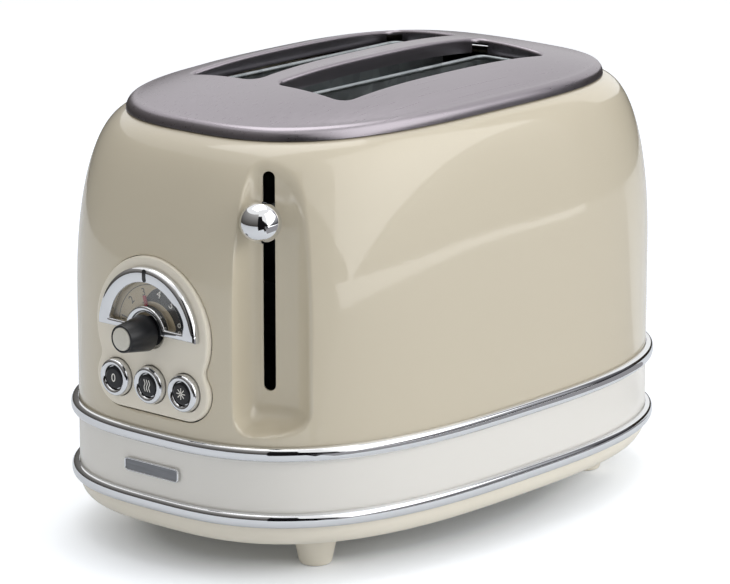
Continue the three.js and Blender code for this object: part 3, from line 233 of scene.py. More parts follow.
def piece(name, made_of, points_and_faces, body="casing", place=casing_frame, crease=35, stands_for=()):
    """A mesh piece that rides on a CAD body, smooth across every edge below the crease angle."""
    points, faces = points_and_faces
    turn = np.array(place.to_3x3())
    moved = (np.asarray(points, dtype=float) @ turn.T + np.array(place.translation)) / 1000
    mesh = bpy.data.meshes.new(name)
    mesh.from_pydata(moved.tolist(), [], [tuple(int(i) for i in face) for face in faces])
    work = bmesh.new()
    work.from_mesh(mesh)
    bmesh.ops.remove_doubles(work, verts=work.verts, dist=2e-6)
    bmesh.ops.recalc_face_normals(work, faces=work.faces)
    centre = sum((v.co for v in work.verts), Vector()) / len(work.verts)
    if sum(f.normal.dot(f.calc_center_median() - centre) * f.calc_area() for f in work.faces) < 0:
        bmesh.ops.reverse_faces(work, faces=work.faces)
    work.to_mesh(mesh)
    work.free()
    made = bpy.data.objects.new(name, mesh)
    scene.collection.objects.link(made)
    mesh.materials.append(made_of)
    smooth(made, crease)
    if stands_for:
        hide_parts(*stands_for)
    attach(made, body)
    return made


def smooth(made, crease):
    """Smooth shading that keeps each edge sharper than the crease angle."""
    mesh = made.data
    mesh.polygons.foreach_set("use_smooth", [True] * len(mesh.polygons))
    mesh.set_sharp_from_angle(angle=math.radians(crease))


def settled(made, crease=35):
    """Applies the modifiers of a piece and shades it again."""
    graph = bpy.context.evaluated_depsgraph_get()
    graph.update()
    mesh = bpy.data.meshes.new_from_object(made.evaluated_get(graph))
    made.modifiers.clear()
    made.data = mesh
    smooth(made, crease)
    return made


def loft(rings, hoop=False, caps=False):
    """A skin over closed rings of one count; a hoop also joins its last ring to its first."""
    count = len(rings[0])
    points = np.concatenate([np.asarray(ring, dtype=float) for ring in rings])
    faces = []
    for i in range(len(rings) if hoop else len(rings) - 1):
        low, high = i * count, (i + 1) % len(rings) * count
        for j in range(count):
            k = (j + 1) % count
            faces.append((low + j, low + k, high + k, high + j))
    if caps:
        last = len(points) - count
        faces += [tuple(range(count))[::-1], tuple(range(last, last + count))]
    return points, faces


def rounded(corners, steps=6, closed=False):
    """Corners as (a, b) or (a, b, radius), with each one that has a radius turned into an arc."""
    line = []
    for i, corner in enumerate(corners):
        here = Vector(corner[:2])
        if len(corner) < 3 or (not closed and i in (0, len(corners) - 1)):
            line.append(tuple(here))
            continue
        before = (Vector(corners[i - 1][:2]) - here).normalized()
        after = (Vector(corners[(i + 1) % len(corners)][:2]) - here).normalized()
        half = before.angle(after) / 2
        centre = here + (before + after).normalized() * corner[2] / math.sin(half)
        first = here + before * corner[2] / math.tan(half) - centre
        last = here + after * corner[2] / math.tan(half) - centre
        sweep = first.angle(last)
        for j in range(steps + 1):
            share = j / steps
            spoke = first * math.sin((1 - share) * sweep) + last * math.sin(share * sweep)
            line.append(tuple(centre + spoke / math.sin(sweep)))
    return line


def turned(profile, count=64, hoop=False):
    """A profile of (radius, height) pairs turned about the third axis."""
    angles = [2 * math.pi * i / count for i in range(count)]
    return loft([[(r * math.cos(a), r * math.sin(a), h) for a in angles] for r, h in profile], hoop)


def finish(name, values):
    """A material whose Principled shader starts from these values. Returned with its tree, its shader and the
    place on the piece, for the pattern that follows."""
    material = bpy.data.materials.new(name)
    material.use_nodes = True
    shader = material.node_tree.nodes["Principled BSDF"]
    for socket, value in values.items():
        shader.inputs[socket].default_value = value
    tree = material.node_tree
    return material, tree, shader, node(tree, "TexCoord").outputs["Object"]


# Moulded ABS, semi-gloss: a soft sheen over a very fine mould texture, with a faint change of tone.
cream_abs, tree, shader, spot = finish("cream ABS, semi-gloss mould",
                                       {"Roughness": 0.32, "IOR": 1.53})
tone = node(tree, "TexNoise", {"Vector": spot, "Scale": 9.0, "Detail": 3.0})
tones = node(tree, "ValToRGB", {0: tone.outputs[0]}, shader.inputs["Base Color"])
tones.color_ramp.elements[0].color = colour("#f1e9d8")
tones.color_ramp.elements[1].color = colour("#f5eede")
grain = node(tree, "TexNoise", {"Vector": spot, "Scale": 1400.0, "Detail": 2.0})
node(tree, "Bump", {"Height": grain.outputs[0], "Strength": 0.05, "Distance": 0.0002},
     shader.inputs["Normal"])

foot_names = [f"foot_{end}_{side}" for end in ("control", "far") for side in ("right", "left")]
pad_radius, pad_edge, pad_sunk, sole_radius, sole_round = 5.2, 5.6, 0.3, 7.4, 1.6
for name in foot_names:
    low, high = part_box(name)
    foot_x, foot_y = 500 * (low.x + high.x), 500 * (low.y + high.y)
    foot_height, foot_top = 1000 * high.z, 500 * (high.x - low.x)
    profile = rounded([(0, pad_sunk), (pad_radius, pad_sunk), (pad_edge, 0), (sole_radius, 0, sole_round),
                       (foot_top, foot_height), (0, foot_height)])
    here = Matrix.Translation((foot_x, foot_y, 0))
    piece(name + "_moulding", cream_abs, turned(profile), place=here, stands_for=[name])

# Base pan. One moulding in cream ABS: a shallow tray with a rounded lower edge, vents along both sides of
# its floor, a boss for the guide rod, and a mouth at the far end for the crumb tray.
plan_power = 2.85
plan_angles = np.linspace(0, 2 * np.pi, 24001)
plan_c = np.sign(np.cos(plan_angles)) * np.abs(np.cos(plan_angles)) ** (2 / plan_power)
plan_s = np.sign(np.sin(plan_angles)) * np.abs(np.sin(plan_angles)) ** (2 / plan_power)
plan_steps = np.hypot(np.diff(half_length * plan_c), np.diff(half_width * plan_s))
plan_arc = np.concatenate([[0], np.cumsum(plan_steps)])
plan_round = plan_arc[-1]


def plan_ring(end, side, z, sag=0, count=320):
    """The casing's outline at those half sizes, in equal steps; its ends may sag below its middle."""
    arcs = np.linspace(0, plan_round, count, endpoint=False)
    x, y = end * np.interp(arcs, plan_arc, plan_c), side * np.interp(arcs, plan_arc, plan_s)
    return np.stack([x, y, z - sag * (x / half_length) ** 2], axis=1)


def inset_ring(inset, z, count=320):
    return plan_ring(half_length - inset, half_width - inset, z, count=count)


def gathered(parts):
    """Several (points, faces) pairs as one."""
    points, faces = [], []
    for part_points, part_faces in parts:
        faces += [tuple(i + len(points) for i in face) for face in part_faces]
        points += [tuple(p) for p in part_points]
    return points, faces


def carved(made, tools, crease=35):
    """Cuts closed forms, given in the piece's own millimetres, out of a piece."""
    cutter = piece("cutter", made.data.materials[0], gathered(tools))
    cut = made.modifiers.new("cut", "BOOLEAN")
    cut.operation, cut.solver, cut.object = "DIFFERENCE", "EXACT", cutter
    settled(made, crease)
    bpy.data.objects.remove(cutter)
    return made


def block(x, y, z):
    """A cutter's block between two values on each axis."""
    ring = [(x[0], y[0]), (x[1], y[0]), (x[1], y[1]), (x[0], y[1])]
    return loft([[(a, b, z[0]) for a, b in ring], [(a, b, z[1]) for a, b in ring]], caps=True)


def round_rectangle(half_x, half_y, radius, steps=6, x=0, y=0):
    """The outline of a rectangle with round corners, about a centre."""
    corners = [(x + half_x, y - half_y, radius), (x + half_x, y + half_y, radius),
               (x - half_x, y + half_y, radius), (x - half_x, y - half_y, radius)]
    return rounded(corners, steps, closed=True)


pan_low, pan_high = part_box("base_pan")
pan_bottom, pan_top = 1000 * pan_low.z, 1000 * pan_high.z
pan_floor, pan_wall, edge_in, edge_up = 2.2, 2.5, 7.0, 9.7


def pan_inset(z):
    """How far the pan's round lower edge lies inside the casing's outline at a height."""
    share = np.clip((z - pan_bottom) / edge_up, 0, 1)
    return edge_in * (1 - math.sqrt(1 - (1 - share) ** 2))


pan_levels = [pan_bottom + edge_up * (1 - math.cos(a)) for a in np.linspace(0, math.pi / 2, 14)]
profile = [(pan_inset(z), z) for z in pan_levels + [pan_top]]
profile += [(pan_wall + pan_inset(z), z) for z in [pan_top] + pan_levels[::-1] if z > pan_bottom + pan_floor]
profile.append((pan_wall + pan_inset(pan_bottom + pan_floor), pan_bottom + pan_floor))
pan_form = loft([inset_ring(inset, z) for inset, z in profile], caps=True)
base_pan = piece("base_pan_moulding", cream_abs, pan_form, stands_for=["base_pan"])
tray_low, tray_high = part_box("crumb_tray")
tray_half = 500 * (tray_high.y - tray_low.y)
tray_play, tray_lift, past_wall = 0.5, 0.3, 6
tools = [block((0, half_length + past_wall), (-tray_half - tray_play, tray_half + tray_play),
               (pan_bottom + pan_floor, 1000 * tray_high.z + tray_lift))]
vent_width, vent_pitch, vent_length, vent_inset, vent_round, vents = 4, 14, 18, 16, 1.9, 7
vent_near, vent_cut = half_width - pan_wall - vent_inset - vent_length, (-3, 4)
for i in range(vents):
    x = (i - (vents - 1) / 2) * vent_pitch
    for side in (-1, 1):
        y = vent_near + vent_length / 2
        outline = round_rectangle(vent_width / 2, vent_length / 2, vent_round, x=x, y=side * y)
        tools.append(loft([[(a, b, pan_bottom + z) for a, b in outline] for z in vent_cut], caps=True))
carved(base_pan, tools)
rod_low, rod_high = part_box("guide_rod")
rod_x, rod_radius = 500 * (rod_low.x + rod_high.x), 500 * (rod_high.x - rod_low.x)
boss_bore, boss_foot, boss_tip, boss_rise, boss_round = rod_radius + 0.3, 6.5, 5.5, 4.5, 0.5
boss_bottom, boss_top = pan_bottom + pan_floor / 2, pan_bottom + pan_floor + boss_rise
profile = rounded([(boss_bore, boss_bottom), (boss_foot, boss_bottom), (boss_tip, boss_top, boss_round),
                   (boss_bore, boss_top)])
piece("guide_rod_boss", cream_abs, turned(profile + profile[:1]), place=Matrix.Translation((rod_x, 0, 0)))

# Crumb tray. A shallow pan of zinc-coated sheet that slides in over the base pan's floor. A cream moulding
# with a grip for the fingers is riveted to its front, and closes the mouth in the base pan's wall.
# Zinc-coated sheet: dull blue-grey with pale and dark spangles a few millimetres wide.
zinc_sheet, tree, shader, spot = finish("hot-dip galvanised sheet", {"Metallic": 1.0})
spangle = node(tree, "TexVoronoi", {"Vector": spot, "Scale": 140.0})
spangles = node(tree, "ValToRGB", {0: spangle.outputs["Color"]}, shader.inputs["Base Color"])
spangles.color_ramp.elements[0].color = colour("#8b9193")
spangles.color_ramp.elements[1].color = colour("#a9aeb0")
node(tree, "MapRange", {"Value": spangle.outputs["Distance"], "To Min": 0.38, "To Max": 0.55},
     shader.inputs["Roughness"])

tray_bottom, tray_top = 1000 * tray_low.z, 1000 * tray_high.z
tray_back, tray_sheet = 1000 * tray_low.x - middle_x, 1.0


def far_wall(y, inset=0):
    """Distance of the casing's far wall from its middle, at a place across it."""
    return (half_length - inset) * (1 - np.abs(y / (half_width - inset)) ** plan_power) ** (1 / plan_power)


def swept(outline, places, reach=lambda y: 1):
    """An outline of (out, z) pairs carried across the far wall; reach scales how far it stands out."""
    rings = [[(far_wall(y, max(0, -out)) + max(0, out) * reach(y), y, z) for out, z in outline]
             for y in places]
    return loft(rings, caps=True)


tray_inset, front_round = pan_wall + pan_inset(tray_bottom), 0.5
front_outline = [(-tray_inset, tray_bottom), (-pan_inset(tray_bottom) - front_round, tray_bottom)]
front_heights = np.linspace(tray_bottom + front_round, tray_top - front_round, 9)
front_outline += [(-pan_inset(z), z) for z in front_heights]
front_outline += [(-front_round, tray_top), (-pan_wall, tray_top)]
front = swept(front_outline, np.linspace(-tray_half, tray_half, 61))
grip_half, grip_reach, grip_root, grip_power = 16, 3.0, -1, 6
grip_thick, grip_round, grip_least = 0.8, 0.7, 0.02
grip_z = (tray_bottom + tray_top) / 2
grip_low, grip_high = grip_z - grip_thick, grip_z + grip_thick
grip_outline = rounded([(grip_root, grip_low), (grip_reach, grip_low, grip_round),
                        (grip_reach, grip_high, grip_round), (grip_root, grip_high)])
grip = swept(grip_outline, grip_half * np.sin(np.linspace(-math.pi / 2, math.pi / 2, 41)),
             lambda y: math.sqrt(max(grip_least, 1 - (y / grip_half) ** grip_power)))
piece("tray_front_moulding", cream_abs, gathered([front, grip]), "tray")
tray_corner, tray_ease = 5, 4
tray_plan = [(tray_back, -tray_half, tray_corner), (far_wall(tray_half, tray_inset), -tray_half)]
tray_plan += [(float(far_wall(y, tray_inset)), y)
              for y in np.linspace(-tray_half + tray_ease, tray_half - tray_ease, 25)]
tray_plan += [(far_wall(tray_half, tray_inset), tray_half), (tray_back, tray_half, tray_corner)]
tray_plan = np.array(rounded(tray_plan, closed=True))
tray_middle = np.array([(tray_back + half_length) / 2, 0])
tray_levels = [(0.8, tray_bottom), (0.2, tray_bottom + 0.3), (0, tray_bottom + 0.9), (0, tray_top),
               (tray_sheet, tray_top), (tray_sheet, tray_bottom + tray_sheet)]
tray_rings = []
for inset, z in tray_levels:
    shrink = 1 - inset / np.array([(half_length - tray_back) / 2, tray_half])
    tray_rings.append(np.column_stack([(tray_plan - tray_middle) * shrink + tray_middle,
                                       np.full(len(tray_plan), z)]))
piece("tray_pan_pressing", zinc_sheet, loft(tray_rings, caps=True), "tray", stands_for=["crumb_tray"])

# Chassis. Two end plates of zinc-coated sheet with slits for the racks and slots for the guards, and two
# heat shields between them. They are folded and spot welded, and keep the CAD model's own meshes.
def covered(material, *names):
    """Gives CAD nodes that keep their own mesh a material."""
    for name in names:
        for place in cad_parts[name].material_slots:
            place.material = material


covered(zinc_sheet, "chassis_control_end", "chassis_far_end", "heat_shield_right", "heat_shield_left")

# Heaters. Three boards of pressed mica between the end plates, each wound with one flat ribbon of heating
# alloy.
# Mica sheet: brown and buff flakes in layers, with a pearly sheen.
mica_sheet, tree, shader, spot = finish("pressed mica sheet", {"Roughness": 0.45, "IOR": 1.58})
flake = node(tree, "TexVoronoi", {"Vector": spot, "Scale": 220.0})
flakes = node(tree, "ValToRGB", {0: flake.outputs["Color"]}, shader.inputs["Base Color"])
flakes.color_ramp.elements[0].color = colour("#a08a63")
flakes.color_ramp.elements[1].color = colour("#c3b28c")
node(tree, "Bump", {"Height": flake.outputs["Distance"], "Strength": 0.2, "Distance": 0.0002},
     shader.inputs["Normal"])
# Heating ribbon: nickel-chrome alloy with a dark oxide that clouds it from brown to grey.
heating_ribbon, tree, shader, spot = finish("nickel-chrome ribbon, oxidised",
                                            {"Metallic": 1.0})
oxide = node(tree, "TexNoise", {"Vector": spot, "Scale": 60.0, "Detail": 3.0})
oxides = node(tree, "ValToRGB", {0: oxide.outputs[0]}, shader.inputs["Base Color"])
oxides.color_ramp.elements[0].color = colour("#6d625a")
oxides.color_ramp.elements[1].color = colour("#978b80")
node(tree, "MapRange", {"Value": oxide.outputs[0], "To Min": 0.4, "To Max": 0.6}, shader.inputs["Roughness"])

for place in ("right", "middle", "left"):
    covered(mica_sheet, "heater_board_" + place)
    covered(heating_ribbon, "heater_winding_" + place)

# Bread guards. Beside each slot two rails joined by upright wires, of zinc-plated drawn steel wire, welded
# where they cross. Their rails slide in the end plates' slots and close on the bread as the lever goes down.
# Drawn wire: bright zinc with faint draw lines along it.
zinc_wire, tree, shader, spot = finish("zinc-plated drawn wire", {"Metallic": 1.0})
drawn = node(tree, "TexNoise", {"Vector": spot, "Scale": 500.0, "Detail": 2.0})
wires = node(tree, "ValToRGB", {0: drawn.outputs[0]}, shader.inputs["Base Color"])
wires.color_ramp.elements[0].color = colour("#92979a")
wires.color_ramp.elements[1].color = colour("#b1b5b7")
node(tree, "MapRange", {"Value": drawn.outputs[0], "To Min": 0.25, "To Max": 0.4}, shader.inputs["Roughness"])


def round_wire(start, end, radius, count=14):
    """A straight wire between two points, with its cut ends eased."""
    start, end = Vector(start), Vector(end)
    along = (end - start).normalized()
    across = along.orthogonal().normalized()
    beside = along.cross(across)
    ease = radius * 0.3
    steps = [(0, radius - ease), (ease, radius), ((end - start).length - ease, radius),
             ((end - start).length, radius - ease)]
    rings = []
    for reach, wide in steps:
        middle = start + along * reach
        rings.append([tuple(middle + (across * math.cos(a) + beside * math.sin(a)) * wide)
                      for a in np.linspace(0, 2 * math.pi, count, endpoint=False)])
    return loft(rings, caps=True)


rail_radius, wire_radius, guard_wires, wire_margin = 1.0, 0.8, 7, 12.5
for name in [f"bread_guard_{slot}_{side}" for slot in ("right", "left") for side in ("outer", "inner")]:
    low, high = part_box(name)
    rail_low, rail_high = 1000 * low.z + rail_radius, 1000 * high.z - rail_radius
    guard_y, guard_x = 500 * (low.y + high.y), 500 * (high.x - low.x)
    wires = [round_wire((-guard_x, guard_y, z), (guard_x, guard_y, z), rail_radius)
             for z in (rail_low, rail_high)]
    for x in np.linspace(wire_margin - guard_x, guard_x - wire_margin, guard_wires):
        wires.append(round_wire((x, guard_y, rail_low), (x, guard_y, rail_high), wire_radius))
    piece(name + "_wires", zinc_wire, gathered(wires), name.replace("bread_guard", "guard"),
          stands_for=[name])

# Lever and carriage. A zinc-plated carriage slides on an upright steel rod in a bush of black acetal, and
# carries the two bread racks, the lever's arm and the latch plate. A wire spring returns it, and an
# electromagnet on the base holds it down. They keep the CAD model's own meshes.
# Ground steel rod: bright, with fine rings from grinding.
steel_rod, tree, shader, spot = finish("ground steel rod", {"Metallic": 1.0})
ground = node(tree, "TexWave", {"Vector": spot, "Scale": 300.0, "Distortion": 1.0}, bands_direction="Z")
rings = node(tree, "ValToRGB", {0: ground.outputs["Fac"]}, shader.inputs["Base Color"])
rings.color_ramp.elements[0].color = colour("#b4b6b8")
rings.color_ramp.elements[1].color = colour("#c6c8ca")
node(tree, "MapRange", {"Value": ground.outputs["Fac"], "To Min": 0.15, "To Max": 0.25},
     shader.inputs["Roughness"])
# Black plastic: near-black ABS or acetal. Its fine spark texture is drawn three times too coarse, to show.
black_abs, tree, shader, spot = finish("black ABS, fine spark texture", {"IOR": 1.5})
spark = node(tree, "TexNoise", {"Vector": spot, "Scale": 2200.0, "Detail": 2.0})
blacks = node(tree, "ValToRGB", {0: spark.outputs[0]}, shader.inputs["Base Color"])
blacks.color_ramp.elements[0].color = colour("#131417")
blacks.color_ramp.elements[1].color = colour("#1c1d21")
node(tree, "MapRange", {"Value": spark.outputs[0], "To Min": 0.26, "To Max": 0.36},
     shader.inputs["Roughness"])
node(tree, "Bump", {"Height": spark.outputs[0], "Strength": 0.06, "Distance": 0.0002},
     shader.inputs["Normal"])
# Magnet winding: copper wire 0.3 mm thick under clear enamel, one band for each turn.
magnet_wire, tree, shader, spot = finish("enamelled copper winding",
                                         {"Metallic": 1.0, "Roughness": 0.3})
turns = node(tree, "TexWave", {"Vector": spot, "Scale": 1000.0}, bands_direction="Z")
coppers = node(tree, "ValToRGB", {0: turns.outputs["Fac"]}, shader.inputs["Base Color"])
coppers.color_ramp.elements[0].color = colour("#8f4c26")
coppers.color_ramp.elements[1].color = colour("#c07646")
node(tree, "Bump", {"Height": turns.outputs["Fac"], "Strength": 0.4, "Distance": 0.0002},
     shader.inputs["Normal"])

covered(steel_rod, "guide_rod")
covered(black_abs, "carriage_bush")
covered(zinc_sheet, "carriage", "bread_rack_right", "bread_rack_left", "lever_arm", "latch_plate",
        "magnet_core")
covered(zinc_wire, "carriage_spring")
covered(magnet_wire, "magnet_coil")

# Chrome bands. Two half-round strips of brass, bent round the casing and chrome plated, which cover the
# joints above and below the ivory band.
# Chrome plate is a mirror with a cool tint; only faint polishing waves break its reflections.
chrome_plate, tree, shader, spot = finish("chrome plate, polished", {
    "Metallic": 1.0, "Base Color": colour("#e6e7e9"), "Roughness": 0.045})
wave = node(tree, "TexNoise", {"Vector": spot, "Scale": 60.0, "Detail": 1.0})
node(tree, "Bump", {"Height": wave.outputs[0], "Strength": 0.02, "Distance": 0.001}, shader.inputs["Normal"])

band_lap, band_power = 0.3, 0.8
for name in ("lower_band", "upper_band"):
    low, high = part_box(name)
    band_z, band_half = 500 * (low.z + high.z), 500 * (high.z - low.z)
    bulge = 500 * (high.x - low.x) - half_length - band_lap
    profile = [(-band_lap - bulge * math.cos(a) ** band_power,
                band_z + band_half * math.copysign(abs(math.sin(a)) ** band_power, a))
               for a in np.linspace(-math.pi / 2, math.pi / 2, 31)]
    strip = loft([inset_ring(inset, z, 400) for inset, z in profile], hoop=True)
    piece(name + "_strip", chrome_plate, strip, crease=60, stands_for=[name])

# Ivory band. A plain hoop moulded in ivory ABS between the two chrome bands, with a hole for the cord's
# gland.
# Gloss ABS, a shade paler and less yellow than the enamel above it.
ivory_abs, tree, shader, spot = finish("ivory ABS, gloss mould", {"Roughness": 0.26, "IOR": 1.53})
tone = node(tree, "TexNoise", {"Vector": spot, "Scale": 7.0, "Detail": 3.0})
tones = node(tree, "ValToRGB", {0: tone.outputs[0]}, shader.inputs["Base Color"])
tones.color_ramp.elements[0].color = colour("#eeebe4")
tones.color_ramp.elements[1].color = colour("#f1eee8")
grain = node(tree, "TexNoise", {"Vector": spot, "Scale": 900.0, "Detail": 2.0})
node(tree, "Bump", {"Height": grain.outputs[0], "Strength": 0.04, "Distance": 0.0002},
     shader.inputs["Normal"])

low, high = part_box("ivory_band")
ivory_low, ivory_high = 1000 * low.z, 1000 * high.z
ivory_wall = 2.0
rings = [inset_ring(0, ivory_low), inset_ring(0, ivory_high), inset_ring(ivory_wall, ivory_high),
         inset_ring(ivory_wall, ivory_low)]
ivory_band = piece("ivory_band_moulding", ivory_abs, loft(rings, hoop=True), stands_for=["ivory_band"])
gland_z, gland_hole, hole_reach = (ivory_low + ivory_high) / 2, 6, (-8, 6)
ring = [(gland_hole * math.cos(a), gland_z + gland_hole * math.sin(a))
        for a in np.linspace(0, 2 * math.pi, 48, endpoint=False)]
hole = loft([[(half_length + x, y, z) for y, z in ring] for x in hole_reach], caps=True)
carved(ivory_band, [hole])

# Cord gland and terminal block. At the far end a black ABS gland snaps into the ivory band with a flange on
# each side of its wall. Behind it the mains terminals sit in a white PBT block on the chassis. No cord is
# modelled.
# White PBT: matt, slightly warm, with a fine glass-fibre grain.
white_pbt, tree, shader, spot = finish("white PBT, glass filled",
                                       {"Roughness": 0.55, "IOR": 1.55})
fibre = node(tree, "TexNoise", {"Vector": spot, "Scale": 900.0, "Detail": 2.0})
whites = node(tree, "ValToRGB", {0: fibre.outputs[0]}, shader.inputs["Base Color"])
whites.color_ramp.elements[0].color = colour("#dcd9cf")
whites.color_ramp.elements[1].color = colour("#eae8e0")
covered(white_pbt, "terminal_block")

gland_low, gland_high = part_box("cord_gland")
gland_in, gland_out = 1000 * gland_low.x - middle_x, 1000 * gland_high.x - middle_x
gland_frame = casing_frame @ Matrix.Translation((0, 0, gland_z)) @ Matrix.Rotation(math.pi / 2, 4, "Y")
gland_bore, gland_neck, gland_flange, flange_thick = 3.6, 5.7, 8.0, 1.5
gland_flare, flare_depth = 0.6, 1.0
profile = rounded([(gland_bore, gland_in), (gland_flange, gland_in, 0.4),
                   (gland_flange, gland_in + flange_thick, 0.3),
                   (gland_neck, gland_in + flange_thick, 0.2), (gland_neck, gland_out - flange_thick, 0.2),
                   (gland_flange, gland_out - flange_thick, 0.3), (gland_flange, gland_out, 0.9),
                   (gland_bore + gland_flare, gland_out, 0.5), (gland_bore, gland_out - flare_depth, 0.4)],
                  steps=5)
piece("cord_gland_moulding", black_abs, turned(profile, hoop=True), place=gland_frame,
      stands_for=["cord_gland"])

# Badge plate. A blank plate of plated brass on the ivory band below the controls: a bright raised rim round a
# satin grey field, with two pins through the band.
# Satin nickel: grey, with fine lines along the plate.
satin_nickel, tree, shader, spot = finish("satin nickel plate", {"Metallic": 1.0})
drawn = node(tree, "Mapping", {"Vector": spot, "Scale": (1500.0, 60.0, 1500.0)})
line = node(tree, "TexNoise", {"Vector": drawn.outputs[0], "Scale": 1.0, "Detail": 2.0})
greys = node(tree, "ValToRGB", {0: line.outputs[0]}, shader.inputs["Base Color"])
greys.color_ramp.elements[0].color = colour("#77787b")
greys.color_ramp.elements[1].color = colour("#929396")
node(tree, "MapRange", {"Value": line.outputs[0], "To Min": 0.3, "To Max": 0.42}, shader.inputs["Roughness"])

end_turn = Matrix(((0, -1, 0), (0, 0, 1), (-1, 0, 0))).transposed().to_4x4()
end_frame = casing_frame @ end_turn


def depths(name):
    """How far a CAD node's back and front lie out from the casing's middle, towards the control end."""
    low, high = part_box(name)
    return middle_x - 1000 * high.x, middle_x - 1000 * low.x


badge_low, badge_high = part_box("badge_plate")
badge_x, badge_y = 500 * (badge_high.y - badge_low.y), 500 * (badge_high.z - badge_low.z)
badge_back, badge_front = depths("badge_plate")
badge_corner = 1.9
badge_frame = end_frame @ Matrix.Translation((0, 500 * (badge_low.z + badge_high.z), 0))


def badge_ring(inset, depth):
    outline = round_rectangle(badge_x - inset, badge_y - inset, badge_corner - inset)
    return [(u, v, depth) for u, v in outline]


badge_rim, badge_sink, rim_start, field_lap = 0.75, 0.45, 0.3, 0.05
rim_levels = [(0, badge_back), (0, badge_front - badge_rim / 2)]
rim_levels += [(badge_rim / 2 * (1 - math.cos(a)), badge_front - badge_rim / 2 * (1 - math.sin(a)))
               for a in np.linspace(rim_start, math.pi - rim_start, 9)]
rim_levels += [(badge_rim, badge_front - badge_sink), (badge_rim, badge_back)]
rim = loft([badge_ring(inset, depth) for inset, depth in rim_levels], hoop=True)
piece("badge_rim", chrome_plate, rim, place=badge_frame, crease=50, stands_for=["badge_plate"])
field = loft([badge_ring(badge_rim - field_lap, depth) for depth in (badge_back, badge_front - badge_sink)],
             caps=True)
piece("badge_field", satin_nickel, field, place=badge_frame)

# Body shell. Deep-drawn steel sheet 1.2 mm thick, enamelled cream: straight walls, a long rolled shoulder,
# an inward flange under the top plate, and a pressed recess at the right corner with the lever's slot in its
# floor.
# Enamel is a thick gloss coat: clear highlights over a body colour, with a faint orange peel in them.
cream_enamel, tree, shader, spot = finish("cream enamel on steel", {
    "Roughness": 0.42, "IOR": 1.5, "Coat Weight": 1.0, "Coat Roughness": 0.06, "Coat IOR": 1.5})
tone = node(tree, "TexNoise", {"Vector": spot, "Scale": 6.0, "Detail": 2.0})
tones = node(tree, "ValToRGB", {0: tone.outputs[0]}, shader.inputs["Base Color"])
tones.color_ramp.elements[0].color = colour("#d4cab3")
tones.color_ramp.elements[1].color = colour("#d8ceb8")
peel = node(tree, "TexNoise", {"Vector": spot, "Scale": 420.0, "Detail": 1.0})
node(tree, "Bump", {"Height": peel.outputs[0], "Strength": 0.05, "Distance": 0.0004},
     shader.inputs["Coat Normal"])

shell_top = 1000 * casing_high.z
shell_bottom = 1000 * casing_low.z
shoulder_rise, shoulder_power, end_sag = 90.0, 2.27, 2.65
shoulder_start = shell_top - shoulder_rise
end_inset, side_inset = 29.2, 20.0
recess_x, recess_y = 24.6 - half_length, 48.5 - half_width
lever_turn = math.radians(24)
lever_right = Vector((math.sin(lever_turn), -math.cos(lever_turn), 0))
lever_out = Vector((-math.cos(lever_turn), -math.sin(lever_turn), 0))
lever_frame = casing_frame @ Matrix.Translation((recess_x, recess_y, 0)) @ Matrix(
    (lever_right, Vector((0, 0, 1)), lever_out)).transposed().to_4x4()
recess_lift, recess_foot, recess_round, recess_reach = 8.7, 12.0, 2.6, 60
recess_bottom = shell_bottom + recess_lift
near_half, near_rise, far_half, far_rise, recess_power, foot_power = 12.8, 14.9, 21.7, 7.7, 3.5, 2.5


def shell_inset(height):
    share = np.clip((height - shoulder_start) / shoulder_rise, 0, 1)
    return share, 1 - (1 - share ** shoulder_power) ** (1 / shoulder_power)


def shell_surface(arc, height):
    """Points of the shell at arc lengths and heights, with the lever's recess pressed in."""
    share, inset = shell_inset(height)
    x = (half_length - end_inset * inset) * np.interp(arc, plan_arc, plan_c)
    y = (half_width - side_inset * inset) * np.interp(arc, plan_arc, plan_s)
    z = height - end_sag * share ** 2 * (x / half_length) ** 2
    side = (x - recess_x) * lever_right.x + (y - recess_y) * lever_right.y
    depth = (x - recess_x) * lever_out.x + (y - recess_y) * lever_out.y
    side = np.clip(side, -recess_reach, recess_reach)
    floor = np.where(side < 0, near_rise * np.abs(side / near_half) ** recess_power,
                     far_rise * np.abs(side / far_half) ** recess_power)
    rise = np.clip((recess_bottom + recess_foot - z) / recess_foot, 0, None)
    floor = floor + recess_foot * rise ** foot_power
    near = np.clip(recess_round - np.abs(depth - floor), 0, None)
    pressed = np.minimum(depth, floor) - near ** 2 / (4 * recess_round)
    return np.stack([x + (pressed - depth) * lever_out.x, y + (pressed - depth) * lever_out.y, z], axis=-1)


def lever_side(points):
    return (points[..., 0] - recess_x) * lever_right.x + (points[..., 1] - recess_y) * lever_right.y


def arc_where(measure, value, height, window):
    """Arc lengths in a window at which a measure of the shell's points takes a value."""
    arcs = np.linspace(window[0], window[1], 2000)
    found = []
    for wanted, z in zip(value, height):
        level = measure(shell_surface(arcs, np.full_like(arcs, z)))
        order = np.argsort(level)
        found.append(np.interp(wanted, level[order], arcs[order]))
    return np.array(found)


def crossings(points, loops):
    """True for each point that lies inside an odd number of closed loops."""
    points = np.asarray(points, dtype=float)
    odd = np.zeros(len(points), dtype=bool)
    for loop in loops:
        a = np.asarray(loop, dtype=float)[:, :2]
        b = np.roll(a, -1, axis=0)
        for (ax, ay), (bx, by) in zip(a, b):
            if ay == by:
                continue
            spans = (ay > points[:, 1]) != (by > points[:, 1])
            odd ^= spans & (points[:, 0] < (bx - ax) * (points[:, 1] - ay) / (by - ay) + ax)
    return odd


